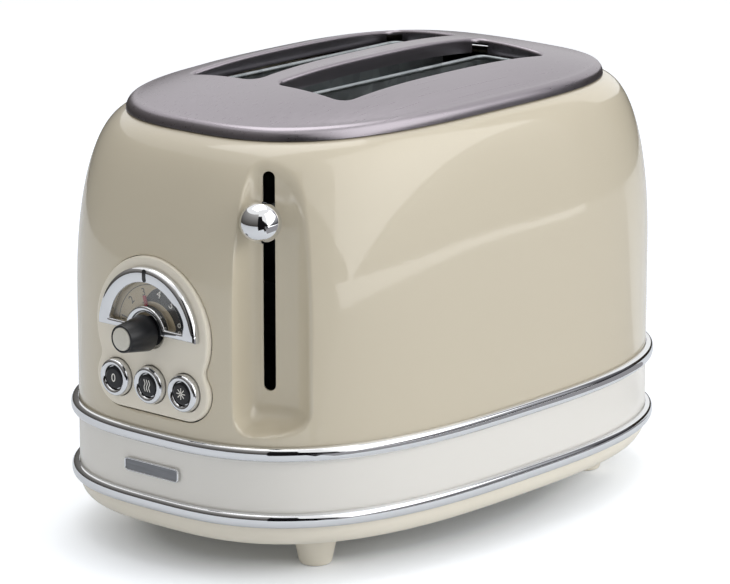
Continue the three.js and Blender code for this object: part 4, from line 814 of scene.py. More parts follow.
def filled(loops, extra=()):
    """Triangles between closed loops and over extra points: the points in order, and the faces."""
    points = [tuple(p)[:2] for loop in loops for p in loop] + [tuple(p)[:2] for p in extra]
    edges = []
    start = 0
    for loop in loops:
        edges += [(start + i, start + (i + 1) % len(loop)) for i in range(len(loop))]
        start += len(loop)
    made = delaunay_2d_cdt([Vector(p) for p in points], edges, [], 0, 1e-7)
    origin = [found[0] for found in made[3]]
    triangles = [tuple(origin[i] for i in face) for face in made[2]]
    array = np.array(points)
    centres = np.array([array[list(t)].mean(axis=0) for t in triangles])
    return array, [t for t, inside in zip(triangles, crossings(centres, loops)) if inside]


def near_loop(points, loop, gap):
    """True for each point that is closer to a loop than the gap, or inside it."""
    points, loop = np.asarray(points), np.asarray(loop)
    close = np.array([np.hypot(*(loop - p).T).min() < gap for p in points])
    return close | crossings(points, [loop])


panel_arch, panel_lobe, panel_fillet = 35, 14, 7


def keyhole(grow):
    """The control panel's outline on the control end: a disc round the dial and a lobe round the buttons."""
    arch, lobe, fillet = panel_arch + grow, panel_lobe + grow, panel_fillet - grow
    lobe_x = panel_arch - panel_lobe
    reach, drop = arch + fillet, dial_z - button_z
    gap = math.hypot(lobe_x, drop)
    along = (reach ** 2 - (lobe + fillet) ** 2 + gap ** 2) / (2 * gap)
    off = math.sqrt(reach ** 2 - along ** 2)
    ux, uz = lobe_x / gap, -drop / gap
    fx, fz = along * ux - off * uz, dial_z + along * uz + off * ux
    arch_end = math.atan2(fz - dial_z, fx)
    lobe_end = math.atan2(fz - button_z, fx - lobe_x)
    right = [(lobe_x + lobe * math.cos(a), button_z + lobe * math.sin(a))
             for a in np.linspace(-math.pi / 2, lobe_end, 28)]
    right += [(fx + fillet * math.cos(a), fz + fillet * math.sin(a))
              for a in np.linspace(lobe_end + math.pi, arch_end + math.pi, 10)[1:-1]]
    right += [(arch * math.cos(a), dial_z + arch * math.sin(a))
              for a in np.linspace(arch_end, math.pi / 2, 44)]
    return right + [(-u, z) for u, z in right[-2::-1]]


button_low, button_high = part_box("button_reheat")
button_z = 500 * (button_low.z + button_high.z)
knob_low, knob_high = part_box("browning_knob")
dial_z = 500 * (knob_low.z + knob_high.z)

# The shell's grid of arc lengths and heights is closer round the panel, the recess and the recess's foot.
panel_half, corner_reach, corner_height, corner_steps, recess_edges = 44, 200, 100.0, 4000, [-20, 31]
mid_control = plan_round / 2
corner_arcs = np.linspace(mid_control, mid_control + corner_reach, corner_steps)
corner_side = lever_side(shell_surface(corner_arcs, np.full(corner_steps, corner_height)))
recess_start, recess_end = np.interp(recess_edges, corner_side, corner_arcs)
arcs = np.concatenate([
    np.linspace(0, mid_control - panel_half, 90, endpoint=False),
    np.linspace(mid_control - panel_half, recess_start, 44, endpoint=False),
    np.linspace(recess_start, recess_end, 92, endpoint=False),
    np.linspace(recess_end, plan_round, 72),
])
foot_rows, wall_rows = np.arange(67, 86, 0.8), np.arange(87, shoulder_start, 3)
slopes, slope_power = np.linspace(0, math.pi / 2, 92)[1:], 0.8
shoulder_rows = shoulder_start + shoulder_rise * np.sin(slopes) ** slope_power
heights = np.concatenate([[shell_bottom, 64, 66], foot_rows, wall_rows, shoulder_rows])
shell_grid = shell_surface(*np.meshgrid(arcs, heights, indexing="ij"))
columns, rows, least_gap = len(arcs), len(heights), 0.45
points = [tuple(p) for p in shell_grid.reshape(-1, 3)]


def patch(outline, margin):
    """Opens the shell along an outline of arc lengths and heights; returns the grid cells that it fills."""
    low, high = outline.min(axis=0) - margin, outline.max(axis=0) + margin
    i0, i1 = np.searchsorted(arcs, low[0]) - 1, np.searchsorted(arcs, high[0])
    j0, j1 = np.searchsorted(heights, low[1]) - 1, np.searchsorted(heights, high[1])
    ring = [(i, j0) for i in range(i0, i1)] + [(i1, j) for j in range(j0, j1)]
    ring += [(i, j1) for i in range(i1, i0, -1)] + [(i0, j) for j in range(j1, j0, -1)]
    inner = [(i, j) for i in range(i0 + 1, i1) for j in range(j0 + 1, j1)]
    spots = np.array([(arcs[i], heights[j]) for i, j in inner])
    inner = [cell for cell, close in zip(inner, near_loop(spots, outline, least_gap)) if not close]
    grid_loop = [(arcs[i], heights[j]) for i, j in ring]
    extra = [(arcs[i], heights[j]) for i, j in inner]
    flat, triangles = filled([grid_loop, outline], extra)
    start = len(points)
    points.extend(tuple(p) for p in shell_surface(outline[:, 0], outline[:, 1]))
    index = [i * rows + j for i, j in ring] + list(range(start, start + len(outline)))
    index += [i * rows + j for i, j in inner]
    faces.extend(tuple(index[i] for i in t) for t in triangles)
    return {(i, j) for i in range(i0, i1) for j in range(j0, j1)}


faces = []
hole_play, hole_window, hole_margin, slot_margin, slot_step = 0.4, 60, 2.0, 1.2, 1.2
panel_hole = np.array(keyhole(hole_play))
hole_arcs = arc_where(lambda p: -p[..., 1], panel_hole[:, 0], panel_hole[:, 1],
                      (mid_control - hole_window, mid_control + hole_window))
open_cells = patch(np.stack([hole_arcs, panel_hole[:, 1]], axis=1), hole_margin)
slot_half, slot_lift, slot_drop = 2.9, 5, 12.6
slot_low, slot_high = recess_bottom + recess_foot + slot_lift, shell_top - slot_drop
slot_end = slot_half - 0.01
slot_corners = [(slot_half, slot_low, slot_end), (slot_half, slot_high, slot_end),
                (-slot_half, slot_high, slot_end), (-slot_half, slot_low, slot_end)]
slot_outline = np.array(rounded(slot_corners, steps=10, closed=True))
dense = []
for a, b in zip(slot_outline, np.roll(slot_outline, -1, axis=0)):
    count = max(1, int(math.dist(a, b) / slot_step))
    dense += [a + (b - a) * i / count for i in range(count)]
slot_outline = np.array(dense)
slot_share = shell_inset(slot_outline[:, 1])[0]
slot_raised = slot_outline[:, 1] + end_sag * slot_share ** 2 * (recess_x / half_length) ** 2
slot_arcs = arc_where(lever_side, slot_outline[:, 0], slot_raised, (recess_start, recess_end))
open_cells |= patch(np.stack([slot_arcs, slot_raised], axis=1), slot_margin)
for i in range(columns - 1):
    for j in range(rows - 1):
        if (i, j) not in open_cells:
            a = i * rows + j
            faces.append((a, a + rows, a + rows + 1, a + 1))
shell_rim, flange_width = shell_grid[:-1, -1], 8
flange_share = [1 - flange_width / (half_length - end_inset), 1 - flange_width / (half_width - side_inset), 1]
shell_form = gathered([(points, faces), loft([shell_rim, shell_rim * flange_share])])
body_shell = piece("body_shell_pressing", cream_enamel, shell_form, stands_for=["body_shell"])
body_shell.data.materials.append(zinc_sheet)
sheet = body_shell.modifiers.new("sheet", "SOLIDIFY")
sheet.thickness, sheet.offset, sheet.material_offset = 0.0012, -1, 1
settled(body_shell)

# Control panel. A moulding in cream ABS that sits flush in the shell's keyhole opening, with a rounded front
# edge, a pocket for the dial, three button holes and four posts behind it for the circuit board's screws.
post_end, panel_face = depths("control_panel")
panel_wall, panel_edge = 3.5, 1.1
panel_back = panel_face - panel_wall
dial_frame = end_frame @ Matrix.Translation((0, dial_z, 0))
hole_radius, shaft_hole = 9.1, 3.4
pocket_radius, pocket_hub, pocket_low, pocket_depth = 25.5, 8.2, -0.5, 2.2
button_names = ("cancel", "reheat", "defrost")
button_places = []
for name in button_names:
    low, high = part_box("button_" + name)
    button_places.append((-500 * (low.y + high.y), 500 * (low.z + high.z)))


def arc(radius, start, end, count, across=0.0, up=0.0):
    """Points of an arc about a centre, from one angle to the other in degrees."""
    angles = np.radians(np.linspace(start, end, count))
    return [(across + radius * math.cos(a), up + radius * math.sin(a)) for a in angles]


def pocket_outline(grow=0.0):
    """The dial's pocket: a half disc with a round hub below its straight side."""
    radius, hub, low = pocket_radius + grow, pocket_hub + grow, pocket_low - grow
    corner = math.degrees(math.asin(low / radius))
    join = math.degrees(math.asin(low / hub))
    outline = arc(radius, corner, 180 - corner, 72) + arc(hub, 180 - join, 360 + join, 40)
    return [(u, v + dial_z) for u, v in outline]


def at_depth(outline, depth):
    return [(u, v, depth) for u, v in outline]


def flat_fill(loops, depth):
    """A flat face at a depth, between closed loops."""
    flat, triangles = filled(loops)
    return [(u, v, depth) for u, v in flat], triangles


eased = np.linspace(0, math.pi / 2, 8)
panel_play, face_lap, pocket_lap, pocket_ease, rim_lap, lip_ease = 0.25, 0.3, 0.6, 0.3, 0.9, 0.5
face_loop = keyhole(-panel_play - panel_edge - face_lap)
parts = [loft([at_depth(keyhole(-panel_play), panel_back)]
              + [at_depth(keyhole(-panel_play - panel_edge * (1 - math.cos(a))),
                          panel_face - panel_edge * (1 - math.sin(a)))
                 for a in eased] + [at_depth(face_loop, panel_face)])]
parts.append(loft([at_depth(pocket_outline(pocket_lap), panel_face)]
                  + [at_depth(pocket_outline(pocket_ease * (1 - math.sin(a))),
                              panel_face - pocket_ease * (1 - math.cos(a)))
                     for a in eased] + [at_depth(pocket_outline(), panel_face - pocket_depth)]))
rims, bores = [], []
for across, up in button_places:
    rims.append(arc(hole_radius + rim_lap, 0, 354, 60, across, up))
    bores.append(arc(hole_radius, 0, 354, 60, across, up))
    lip = [at_depth(arc(hole_radius + lip_ease * (1 - math.sin(a)), 0, 354, 60, across, up),
                    panel_face - lip_ease * (1 - math.cos(a))) for a in eased]
    parts.append(loft([at_depth(rims[-1], panel_face)] + lip + [at_depth(bores[-1], panel_back)]))
shaft_loop = arc(shaft_hole, 0, 348, 30, 0, dial_z)
parts.append(flat_fill([face_loop, pocket_outline(pocket_lap)] + rims, panel_face))
parts.append(flat_fill([pocket_outline(), shaft_loop], panel_face - pocket_depth))
parts.append(loft([at_depth(shaft_loop, panel_face - pocket_depth), at_depth(shaft_loop, panel_back)]))
parts.append(flat_fill([keyhole(-panel_play), shaft_loop] + bores, panel_back))
piece("control_panel_moulding", cream_abs, gathered(parts), place=end_frame, stands_for=["control_panel"])
post_right, screw_bore, post_tip, post_foot, post_round = ((26, 11), (28, -10)), 1.2, 3, 3.4, 0.3
post_places = [(side * across, dial_z + up) for side in (-1, 1) for across, up in post_right]
post = rounded([(screw_bore, post_end), (post_tip, post_end, post_round), (post_foot, panel_back),
                (screw_bore, panel_back)])
posts = []
for across, up in post_places:
    points, faces = turned(post + post[:1], 32)
    posts.append((points + np.array([across, up, 0]), faces))
piece("control_panel_posts", cream_abs, gathered(posts), place=end_frame)

# Circuit board. Behind the panel a board on four posts carries the browning potentiometer and a switch for
# each button. They are hidden, and keep the CAD model's own meshes.
# Solder mask over copper: deep green, with paler tracks on a 2.5 mm grid showing through.
solder_mask, tree, shader, spot = finish("solder mask on circuit board",
                                         {"Roughness": 0.35, "IOR": 1.5})
node(tree, "TexBrick", {"Vector": spot, "Color1": colour("#1f5436"), "Color2": colour("#245c3c"),
                        "Mortar": colour("#3f8458"), "Scale": 1.0, "Mortar Size": 0.0003,
                        "Brick Width": 0.0075, "Row Height": 0.0025}, shader.inputs["Base Color"])
covered(solder_mask, "circuit_board")
covered(zinc_sheet, "potentiometer", "knob_shaft")
covered(black_abs, "switch_cancel", "switch_reheat", "switch_defrost")

# Browning dial. A half-round card printed in beige with a dark crescent and six numerals lies in the pocket,
# with a thin arc along its outer edge. A red needle on the knob's shaft turns over it, under a clear window.
# Printed card: warm beige ink with a fine paper grain.
dial_card, tree, shader, spot = finish("printed card, beige ink",
                                       {"Roughness": 0.6, "IOR": 1.45})
paper = node(tree, "TexNoise", {"Vector": spot, "Scale": 1600.0, "Detail": 3.0})
beiges = node(tree, "ValToRGB", {0: paper.outputs[0]}, shader.inputs["Base Color"])
beiges.color_ramp.elements[0].color = colour("#c9b99b")
beiges.color_ramp.elements[1].color = colour("#d6c8ac")
covered(dial_card, "dial_face")
# Screen-printed inks: dark grey for the crescent and the first numerals, warm white for the last three.
dark_ink, tree, shader, spot = finish("screen ink, dark grey",
                                      {"Roughness": 0.5, "IOR": 1.45})
mesh_mark = node(tree, "TexNoise", {"Vector": spot, "Scale": 1800.0, "Detail": 2.0})
inks = node(tree, "ValToRGB", {0: mesh_mark.outputs[0]}, shader.inputs["Base Color"])
inks.color_ramp.elements[0].color = colour("#46423f")
inks.color_ramp.elements[1].color = colour("#524e4a")
white_ink, tree, shader, spot = finish("screen ink, warm white",
                                       {"Roughness": 0.5, "IOR": 1.45})
mesh_mark = node(tree, "TexNoise", {"Vector": spot, "Scale": 1800.0, "Detail": 2.0})
inks = node(tree, "ValToRGB", {0: mesh_mark.outputs[0]}, shader.inputs["Base Color"])
inks.color_ramp.elements[0].color = colour("#f6f3ea")
inks.color_ramp.elements[1].color = colour("#fdfbf5")

card_front = depths("dial_face")[1]
ink_height, ink_sunk = 0.04, 0.02
ink_low, ink_high = card_front - ink_sunk, card_front + ink_height


def printed(outer, inner, low, high):
    """A print between an outer and an inner line of points, as a thin closed form."""
    rings = [[(*a, low), (*b, low), (*b, high), (*a, high)] for a, b in zip(outer, inner)]
    return loft(rings, caps=True)


def stroke(line, width, low, high):
    """A printed line of constant width along points."""
    line = np.asarray(line, dtype=float)
    along = np.gradient(line, axis=0)
    along /= np.hypot(*along.T)[:, None]
    beside = np.stack([-along[:, 1], along[:, 0]], axis=1) * width / 2
    return printed([tuple(p) for p in line + beside], [tuple(p) for p in line - beside], low, high)


def numeral(character, height, low, high):
    """A printed character, centred on its own middle."""
    words = bpy.data.curves.new("numeral", "FONT")
    words.body = character
    words.extrude = 0.02
    words.resolution_u = 6
    made = bpy.data.objects.new("numeral", words)
    scene.collection.objects.link(made)
    graph = bpy.context.evaluated_depsgraph_get()
    graph.update()
    mesh = bpy.data.meshes.new_from_object(made.evaluated_get(graph))
    points = np.array([tuple(v.co) for v in mesh.vertices])
    faces = [tuple(face.vertices) for face in mesh.polygons]
    bpy.data.objects.remove(made)
    bpy.data.meshes.remove(mesh)
    least, most = points.min(axis=0), points.max(axis=0)
    flat = (points[:, :2] - (least + most)[:2] / 2) * height / (most - least)[1]
    return np.column_stack([flat, np.where(points[:, 2] > 0, high, low)]), faces


def turned_to(form, angle, radius):
    """A form that stands upright on a circle at an angle in degrees."""
    points, faces = form
    turn = math.radians(angle - 90)
    cos, sin = math.cos(turn), math.sin(turn)
    x, y = points[:, 0], points[:, 1] + radius
    return np.column_stack([x * cos - y * sin, x * sin + y * cos, points[:, 2]]), faces


# The crescent starts as a point at its tip and widens to the scale's arc.
tip_angle, tip_outer, tip_inner, scale_radius, widening, inner_rise = 118, 13.6, 13.2, 21.3, 46, 2.0
crescent = np.linspace(tip_angle, -1, 60)
grown = np.clip((tip_angle - crescent) / widening, 0, 1)
crescent_outer = tip_outer + (scale_radius - tip_outer) * grown ** 2 * (3 - 2 * grown)
crescent_inner = tip_inner + inner_rise * (tip_angle - crescent) / (tip_angle + 1)
spokes = np.stack([np.cos(np.radians(crescent)), np.sin(np.radians(crescent))], axis=1)
shade = printed([tuple(p) for p in spokes * crescent_outer[:, None]],
                [tuple(p) for p in spokes * crescent_inner[:, None]], ink_low, ink_high)
scale_width, numeral_height, numeral_radius = 0.28, 3.6, 18.2
scale_line = stroke(arc(scale_radius, 179, 70, 70), scale_width, ink_low, ink_high)
numeral_angles = (168, 137, 108, 77, 49, 17)
first, last = [], []
for i, angle in enumerate(numeral_angles):
    raised = 0 if i < 3 else ink_height
    form = numeral(str(i + 1), numeral_height, ink_low, card_front + raised + ink_height)
    (first if i < 3 else last).append(turned_to(form, angle, numeral_radius))
piece("dial_print_dark", dark_ink, gathered([shade, scale_line] + first), place=dial_frame)
piece("dial_print_light", white_ink, gathered(last), place=dial_frame)

# The needle is a blade that stands left of the crown at rest, on a black hub round the shaft.
# Muted red lacquer on the blade, satin, with a faint mottle.
red_lacquer, tree, shader, spot = finish("red lacquer", {"Roughness": 0.4, "IOR": 1.5})
mottle = node(tree, "TexNoise", {"Vector": spot, "Scale": 300.0, "Detail": 2.0})
reds = node(tree, "ValToRGB", {0: mottle.outputs[0]}, shader.inputs["Base Color"])
reds.color_ramp.elements[0].color = colour("#a23440")
reds.color_ramp.elements[1].color = colour("#b8434f")
needle_low, needle_high = depths("dial_needle")
needle_turn, needle_half, needle_reach = 106, 0.9, (8.5, 16.4)
needle = gathered([block((-needle_half, needle_half), needle_reach, (needle_low, needle_high))])
piece("dial_needle_blade", red_lacquer, turned_to((np.asarray(needle[0]), needle[1]), needle_turn, 0),
      "browning_control", dial_frame, stands_for=["dial_needle"])
hub_bore, hub_rim = 3.0, 7.0
hub = turned([(hub_bore, needle_low), (hub_rim, needle_low), (hub_rim, needle_high),
              (hub_bore, needle_high), (hub_bore, needle_low)], 64)
piece("dial_needle_hub", black_abs, hub, "browning_control", dial_frame)
# Clear acrylic window: both faces together mirror about a twelfth of the light and let the rest through, so
# it is drawn as a thin mirror with that alpha.
clear_acrylic, tree, shader, spot = finish("clear acrylic window", {
    "Base Color": colour("#f6f8f8"), "Metallic": 1.0, "Alpha": 0.08})
polish = node(tree, "TexNoise", {"Vector": spot, "Scale": 200.0})
node(tree, "MapRange", {"Value": polish.outputs[0], "To Min": 0.02, "To Max": 0.05},
     shader.inputs["Roughness"])
covered(clear_acrylic, "dial_window")

# Dial bezel. A half-round frame die-cast in zinc and chrome plated, with a domed rim, a straight bar along
# its foot and a ring round the knob. A black index mark is set in its crown.
bezel_low, bezel_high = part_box("dial_bezel")
bezel_back, bezel_front = depths("dial_bezel")
bezel_radius, bezel_foot, knob_notch = 500 * (bezel_high.y - bezel_low.y), -0.5, 9.0
window_radius, hub_radius, bar_top = 23.0, 12.4, 3.2
bezel_round, window_round, dome, dome_start, dome_reach = 2.2, 1.0, 0.5, 5, 1.3


def half_round(radius, notch, foot, arc_count, foot_count):
    """A half-round outline with a straight foot that arches over the knob."""
    corner, mouth = math.degrees(math.asin(foot / radius)), math.degrees(math.asin(foot / notch))
    outline = arc(radius, corner, 180 - corner, arc_count)
    left_end = -notch * math.cos(math.radians(mouth))
    outline += [(u, foot) for u in np.linspace(outline[-1][0], left_end, foot_count)[1:-1]]
    outline += arc(notch, 180 - mouth, mouth, 40)
    return outline + [(u, foot) for u in np.linspace(outline[-1][0], outline[0][0], foot_count)[1:-1]]


def bezel_outline(inset):
    return half_round(bezel_radius - inset, knob_notch + inset, bezel_foot + inset, 96, 12)


def window_outline(grow):
    return half_round(window_radius + grow, hub_radius - grow, bar_top - grow, 72, 8)


def domed(points):
    """Lowers the bezel's face towards both edges of its rim."""
    u, v, depth = np.asarray(points, dtype=float).T
    middle, half = (bezel_radius + window_radius) / 2, (bezel_radius - window_radius) / 2
    off = np.clip((np.hypot(u, v) - middle) / half, -1, 1)
    rim_share = np.clip((v - bar_top) / dome_start, 0, 1)
    on_rim = np.hypot(u, v) > middle - half * dome_reach
    return np.column_stack([u, v, depth - dome * off ** 2 * rim_share * on_rim])


outer_walls = [at_depth(bezel_outline(0), bezel_back)]
outer_walls += [domed(at_depth(bezel_outline(bezel_round * (1 - math.cos(a))),
                               bezel_front - bezel_round * (1 - math.sin(a)))) for a in eased]
inner_walls = [at_depth(window_outline(0), bezel_back)]
inner_walls += [domed(at_depth(window_outline(window_round * (1 - math.cos(a))),
                               bezel_front - window_round * (1 - math.sin(a)))) for a in eased]
face_loops = [bezel_outline(bezel_round), window_outline(window_round)]
extra = [p for radius in (24.6, 25.4, 26.2, 27.0, 27.8, 28.6) for p in arc(radius, 6, 174, 72)]
flat, triangles = filled(face_loops, extra)
face = domed([(u, v, bezel_front) for u, v in flat]), triangles
back = flat_fill([bezel_outline(0), window_outline(0)], bezel_back)
piece("dial_bezel_casting", chrome_plate, gathered([loft(outer_walls), loft(inner_walls), face, back]),
      place=dial_frame, stands_for=["dial_bezel"])
mark_middle = (bezel_radius + window_radius) / 2


def pill(half_width, half_height, low, high):
    """A flat-topped pill on the bezel's crown, with an eased edge."""
    outline = round_rectangle(half_width, half_height, half_width * 0.98)
    rings = []
    for share, depth in ((1, low), (1, high - 0.1), (0.93, high)):
        rings.append([(u * share, mark_middle + v * share, depth) for u, v in outline])
    return loft(rings, caps=True)


mark_half, mark_reach, mark_sunk = 1.25, 3.0, 0.4
mark = pill(mark_half, mark_reach, bezel_front - mark_sunk, bezel_front)
piece("dial_index_mark", black_abs, mark, place=dial_frame)

# Browning knob. A tapered knob in black ABS, pressed on the potentiometer's shaft, with a thin rim round a
# satin ivory cap in its end. It turns with the needle.
knob_back, knob_tip = depths("browning_knob")
knob_base, knob_end, knob_rim, cap_sink = 500 * (knob_high.z - knob_low.z), 6.4, 0.7, 1.2
bore, bore_depth = 3.3, 10
bore_end = knob_back + bore_depth
profile = rounded([(0, bore_end), (bore, bore_end), (bore, knob_back), (knob_base, knob_back, 0.4),
                   (knob_end, knob_tip, 0.5), (knob_end - knob_rim, knob_tip, 0.15),
                   (knob_end - knob_rim, knob_tip - cap_sink), (0, knob_tip - cap_sink)], steps=5)
piece("browning_knob_moulding", black_abs, turned(profile, 96), "browning_control", dial_frame,
      stands_for=["browning_knob"])
# Ivory cap: satin ABS, a little greyer than the band.
ivory_cap, tree, shader, spot = finish("ivory ABS, satin", {"Roughness": 0.42, "IOR": 1.53})
satin = node(tree, "TexNoise", {"Vector": spot, "Scale": 800.0, "Detail": 2.0})
ivories = node(tree, "ValToRGB", {0: satin.outputs[0]}, shader.inputs["Base Color"])
ivories.color_ramp.elements[0].color = colour("#d5d2c6")
ivories.color_ramp.elements[1].color = colour("#dedbd0")
low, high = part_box("knob_cap")
cap_back, cap_front = depths("knob_cap")
cap_radius = 500 * (high.z - low.z)
profile = [(0, cap_back), (cap_radius, cap_back), (cap_radius, knob_tip - 0.25)]
profile += [(cap_radius * share, cap_front - (cap_front - knob_tip + 0.1) * share ** 4)
            for share in (0.98, 0.93, 0.85, 0.72, 0.55, 0.35, 0)]
piece("knob_cap_disc", ivory_cap, turned(profile, 72), "browning_control", dial_frame,
      stands_for=["knob_cap"])

# Push buttons. Three turned brass rings with a half-round crown, chrome plated, on plungers with a flange
# behind the panel. A black insert in each carries a printed sign: a nought, three heat waves and a
# snowflake.
ring_inner, ring_outer, ring_crown, insert_depth = 5.5, 8.8, 1.8, 2.0
flange_radius, flange_gap, flange_depth, plunger_radius = 10.3, 0.3, 1.3, 3
sign_height, wave_height, wave_spacing, flake_reach, sign_stroke = 3.9, 5.6, 1.45, 2.7, 0.42
wave_sway, wave_turns, sign_sunk, sign_raised = 0.32, 1.5, 0.02, 0.03
insert_edge, insert_crown, insert_round = 0.35, 1.0, 0.3


def snowflake(reach, width, low, high):
    """Eight plain arms from the middle."""
    lines = []
    for i in range(8):
        turn = math.radians(45 * i)
        along = np.array([math.cos(turn), math.sin(turn)])
        lines.append([along * reach * share for share in (0.0, 0.5, 1.0)])
    return gathered([stroke(line, width, low, high) for line in lines])


def heat_waves(height, spacing, width, low, high):
    """Three upright wavy lines."""
    rise = np.linspace(-height / 2, height / 2, 40)
    sway = wave_sway * np.sin(2 * math.pi * rise / height * wave_turns)
    return gathered([stroke(np.stack([across + sway, rise], axis=1), width, low, high)
                     for across in (-spacing, 0, spacing)])


for name, (across, up) in zip(button_names, button_places):
    plunger_end, button_tip = depths("button_" + name)
    here = end_frame @ Matrix.Translation((across, up, 0))
    middle, half = (ring_outer + ring_inner) / 2, (ring_outer - ring_inner) / 2
    profile = [(0, button_tip - insert_depth), (ring_inner, button_tip - insert_depth)]
    profile += [(middle - half * math.cos(a), button_tip - ring_crown * (1 - math.sin(a)))
                for a in np.linspace(0, math.pi, 19)]
    profile += [(ring_outer, panel_back - flange_gap), (flange_radius, panel_back - flange_gap),
                (flange_radius, panel_back - flange_depth), (plunger_radius, panel_back - flange_depth),
                (plunger_radius, plunger_end), (0, plunger_end)]
    piece(f"button_{name}_ring", chrome_plate, turned(profile, 96), name, here, stands_for=["button_" + name])
    low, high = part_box("insert_" + name)
    insert_radius = 500 * (high.z - low.z)
    insert_back, insert_front = depths("insert_" + name)
    profile = rounded([(0, insert_back), (insert_radius, insert_back),
                       (insert_radius, insert_front - insert_edge, insert_round),
                       (insert_radius - insert_crown, insert_front, insert_crown), (0, insert_front)])
    piece(f"insert_{name}_disc", black_abs, turned(profile, 72), name, here, stands_for=["insert_" + name])
    span = (insert_front - sign_sunk, insert_front + sign_raised)
    if name == "cancel":
        sign = numeral("0", sign_height, *span)
    elif name == "reheat":
        sign = heat_waves(wave_height, wave_spacing, sign_stroke, *span)
    else:
        sign = snowflake(flake_reach, sign_stroke, *span)
    piece(f"sign_{name}", white_ink, sign, name, here)

# Lever ball. A polished chrome-plated ball, bored and pressed on the round pin of the lever's stem. It slides
# down the recess with the carriage.
low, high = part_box("lever_knob")
ball_radius, ball_bore, bore_end = 500 * (high.z - low.z), 2.6, 8.8
ball_stand, ball_z = 12.0, 500 * (low.z + high.z)
start = math.asin(ball_bore / ball_radius)
profile = [(0, bore_end), (ball_bore, bore_end)]
profile += [(ball_radius * math.sin(a), ball_stand - ball_radius * math.cos(a))
            for a in np.linspace(start, math.pi, 72)]
ball_frame = lever_frame @ Matrix.Translation((0, ball_z, 0))
piece("lever_ball", chrome_plate, turned(profile, 128), "lever", ball_frame, crease=45,
      stands_for=["lever_knob"])

# Slot liner. Below the top plate lies a flat zinc-coated sheet, with a collar and a rolled rim under each
# slot that guides the bread between the guards. It hangs from the top plate and covers the chassis.
liner_low, liner_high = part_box("slot_liner")
liner_x, liner_y = 500 * (liner_high.x - liner_low.x), 500 * (liner_high.y - liner_low.y)
liner_bottom, rim_top = 1000 * liner_low.z, 1000 * liner_high.z
liner_sheet, collar_wall, collar_roll, roll_turn, roll_foot = 1.0, 0.8, 2.2, math.pi * 1.35, 2.3
collar_x, collar_y, collar_corner, slot_sides = 71.0, 17.0, 6.0, (-27.5, 27.5)


def collar_ring(inset, z, y):
    outline = round_rectangle(collar_x - inset, collar_y - inset, collar_corner - inset, 8, y=y)
    return [(a, b, z) for a, b in outline]


roll_half = collar_roll / 2
parts = []
for y in slot_sides:
    levels = [(0, liner_bottom + liner_sheet), (0, rim_top - roll_half)]
    levels += [(roll_half - roll_half * math.cos(a), rim_top - roll_half * (1 - math.sin(a)))
               for a in np.linspace(0, roll_turn, 16)[1:]]
    levels += [(collar_wall, rim_top - roll_foot), (collar_wall, liner_bottom)]
    parts.append(loft([collar_ring(inset, z, y) for inset, z in levels]))
liner_corner = 2.0
edge = round_rectangle(liner_x, liner_y, liner_corner)
liner_top = liner_bottom + liner_sheet
for inset, level in ((0, liner_top), (collar_wall, liner_bottom)):
    collars = [[p[:2] for p in collar_ring(inset, 0, y)] for y in slot_sides]
    parts.append(flat_fill([edge] + collars, level))
parts.append(loft([at_depth(edge, liner_top), at_depth(edge, liner_bottom)]))
piece("slot_liner_pressing", zinc_sheet, gathered(parts), stands_for=["slot_liner"])

# Top plate. Stainless sheet 1 mm thick, pressed into a shallow crown with a rolled rim. Its two bread slots
# have lips turned down on every side, and the lips are cut away at the corners so that the sheet can bend.
# Brushed stainless: grey with a violet cast, drawn in fine lines along the length that spread its highlights.
brushed_steel, tree, shader, spot = finish("stainless steel, brushed along",
                                           {"Metallic": 1.0, "Anisotropic": 0.5})
drawn = node(tree, "Mapping", {"Vector": spot, "Scale": (1.5, 900.0, 900.0)})
line = node(tree, "TexNoise", {"Vector": drawn.outputs[0], "Scale": 1.0, "Detail": 4.0})
tones = node(tree, "ValToRGB", {0: line.outputs[0]}, shader.inputs["Base Color"])
tones.color_ramp.elements[0].color = colour("#979197")
tones.color_ramp.elements[1].color = colour("#a29ca2")
node(tree, "MapRange", {"Value": line.outputs[0], "To Min": 0.22, "To Max": 0.38}, shader.inputs["Roughness"])

plate_low, plate_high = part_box("top_plate")
plate_end, plate_side = 500 * (plate_high.x - plate_low.x), 500 * (plate_high.y - plate_low.y)
plate_gap, rim_width, rim_height, crown_rise, crown_power = 0.3, 4.5, 5.7, 10.9, 2.9
plate_edge = shell_top + plate_gap
slot_length, slot_width, slot_corner = 74.0, 21.2, 6.0
lip_drop, roll, roll_gap, roll_lane, cut_x, cut_y = 7.2, 1.5, 2.5, 1.2, 2.2, 1.2


def crown(x, y):
    """Height of the plate's top face."""
    share = (np.abs(x / (plate_end - rim_width)) ** plan_power
             + np.abs(y / (plate_side - rim_width)) ** plan_power) ** (1 / plan_power)
    rise = crown_rise * (1 - np.clip(share, 0, 1) ** crown_power)
    return plate_edge + rim_height + rise - end_sag * (x / half_length) ** 2


def slot_loop(grow, y, steps=8):
    """A bread slot's outline, grown by that much, with points along its straight sides."""
    radius = slot_corner + grow
    reach, near, far = slot_length + grow, y - slot_width - grow, y + slot_width + grow
    corners = [(reach, near, radius), (reach, far, radius), (-reach, far, radius), (-reach, near, radius)]
    outline = np.array(rounded(corners, steps, closed=True))
    dense = []
    for a, b in zip(outline, np.roll(outline, -1, axis=0)):
        count = 30 if abs(b[0] - a[0]) > slot_width * 2 else 12 if abs(b[1] - a[1]) > slot_width else 1
        dense += [a + (b - a) * i / count for i in range(count)]
    return np.array(dense)


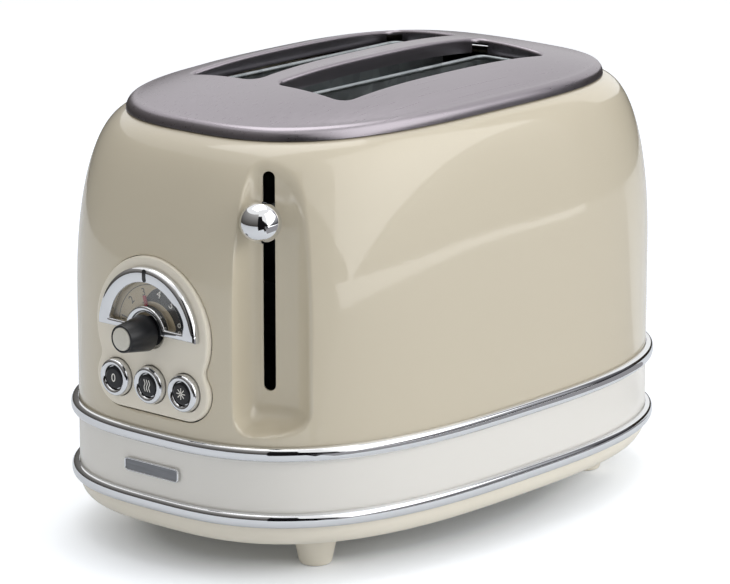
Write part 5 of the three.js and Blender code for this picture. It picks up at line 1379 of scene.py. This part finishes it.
rim_rings = []
for angle in np.linspace(0, math.pi / 2, 10):
    inset = rim_width * (1 - math.cos(angle))
    level = plate_edge + rim_height * math.sin(angle)
    rim_rings.append(plan_ring(plate_end - inset, plate_side - inset, level, end_sag))
points, faces = loft(rim_rings)
points = [tuple(p) for p in points]
ring_loop = rim_rings[-1][:, :2]
slot_edges = [slot_loop(roll, y) for y in slot_sides]
extra = []
for share in (0.99, 0.97, 0.94, 0.9, 0.85, 0.8, 0.74, 0.68, 0.6, 0.5, 0.4, 0.3, 0.2, 0.1):
    count = max(24, int(320 * share / 2))
    inner_ring = plan_ring((plate_end - rim_width) * share, (plate_side - rim_width) * share, 0, count=count)
    extra += [tuple(p[:2]) for p in inner_ring]
extra = [p for p, close in zip(extra, near_loop(extra, slot_edges[0], roll_gap)
                               | near_loop(extra, slot_edges[1], roll_gap)) if not close]
extra += [tuple(p) for y in slot_sides for p in slot_loop(roll + roll_lane, y)]
flat, triangles = filled([ring_loop] + slot_edges, extra)
start = len(points)
points += [(x, y, z) for (x, y), z in zip(flat, crown(flat[:, 0], flat[:, 1]))]
faces += [tuple(start + i for i in t) for t in triangles]
for y in slot_sides:
    levels = [(roll * (1 - math.sin(a)), roll * (1 - math.cos(a))) for a in np.linspace(0, math.pi / 2, 7)]
    base = slot_loop(roll, y)
    corner = ((np.abs(base[:, 0]) > slot_length - slot_corner + cut_x)
              & (np.abs(base[:, 1] - y) > slot_width - slot_corner + cut_y))
    rings = []
    for grow, drop in levels:
        loop = slot_loop(grow, y)
        rings.append(np.column_stack([loop, crown(base[:, 0], base[:, 1]) - drop]))
    wall = slot_loop(0, y)
    for share in (0.1, 0.35, 0.7, 1.0):
        drop = roll + (lip_drop - roll) * share
        rings.append(np.column_stack([wall, crown(base[:, 0], base[:, 1]) - drop]))
    lip_points, lip_faces = loft(rings)
    count = len(base)
    kept = [face for face in lip_faces
            if face[0] // count < len(levels) or not (corner[face[0] % count] or corner[face[1] % count])]
    faces += [tuple(i + len(points) for i in face) for face in kept]
    points += [tuple(p) for p in lip_points]
top_plate = piece("top_plate_pressing", brushed_steel, (points, faces), stands_for=["top_plate"])
sheet = top_plate.modifiers.new("sheet", "SOLIDIFY")
sheet.thickness, sheet.offset = 0.001, -1
settled(top_plate)
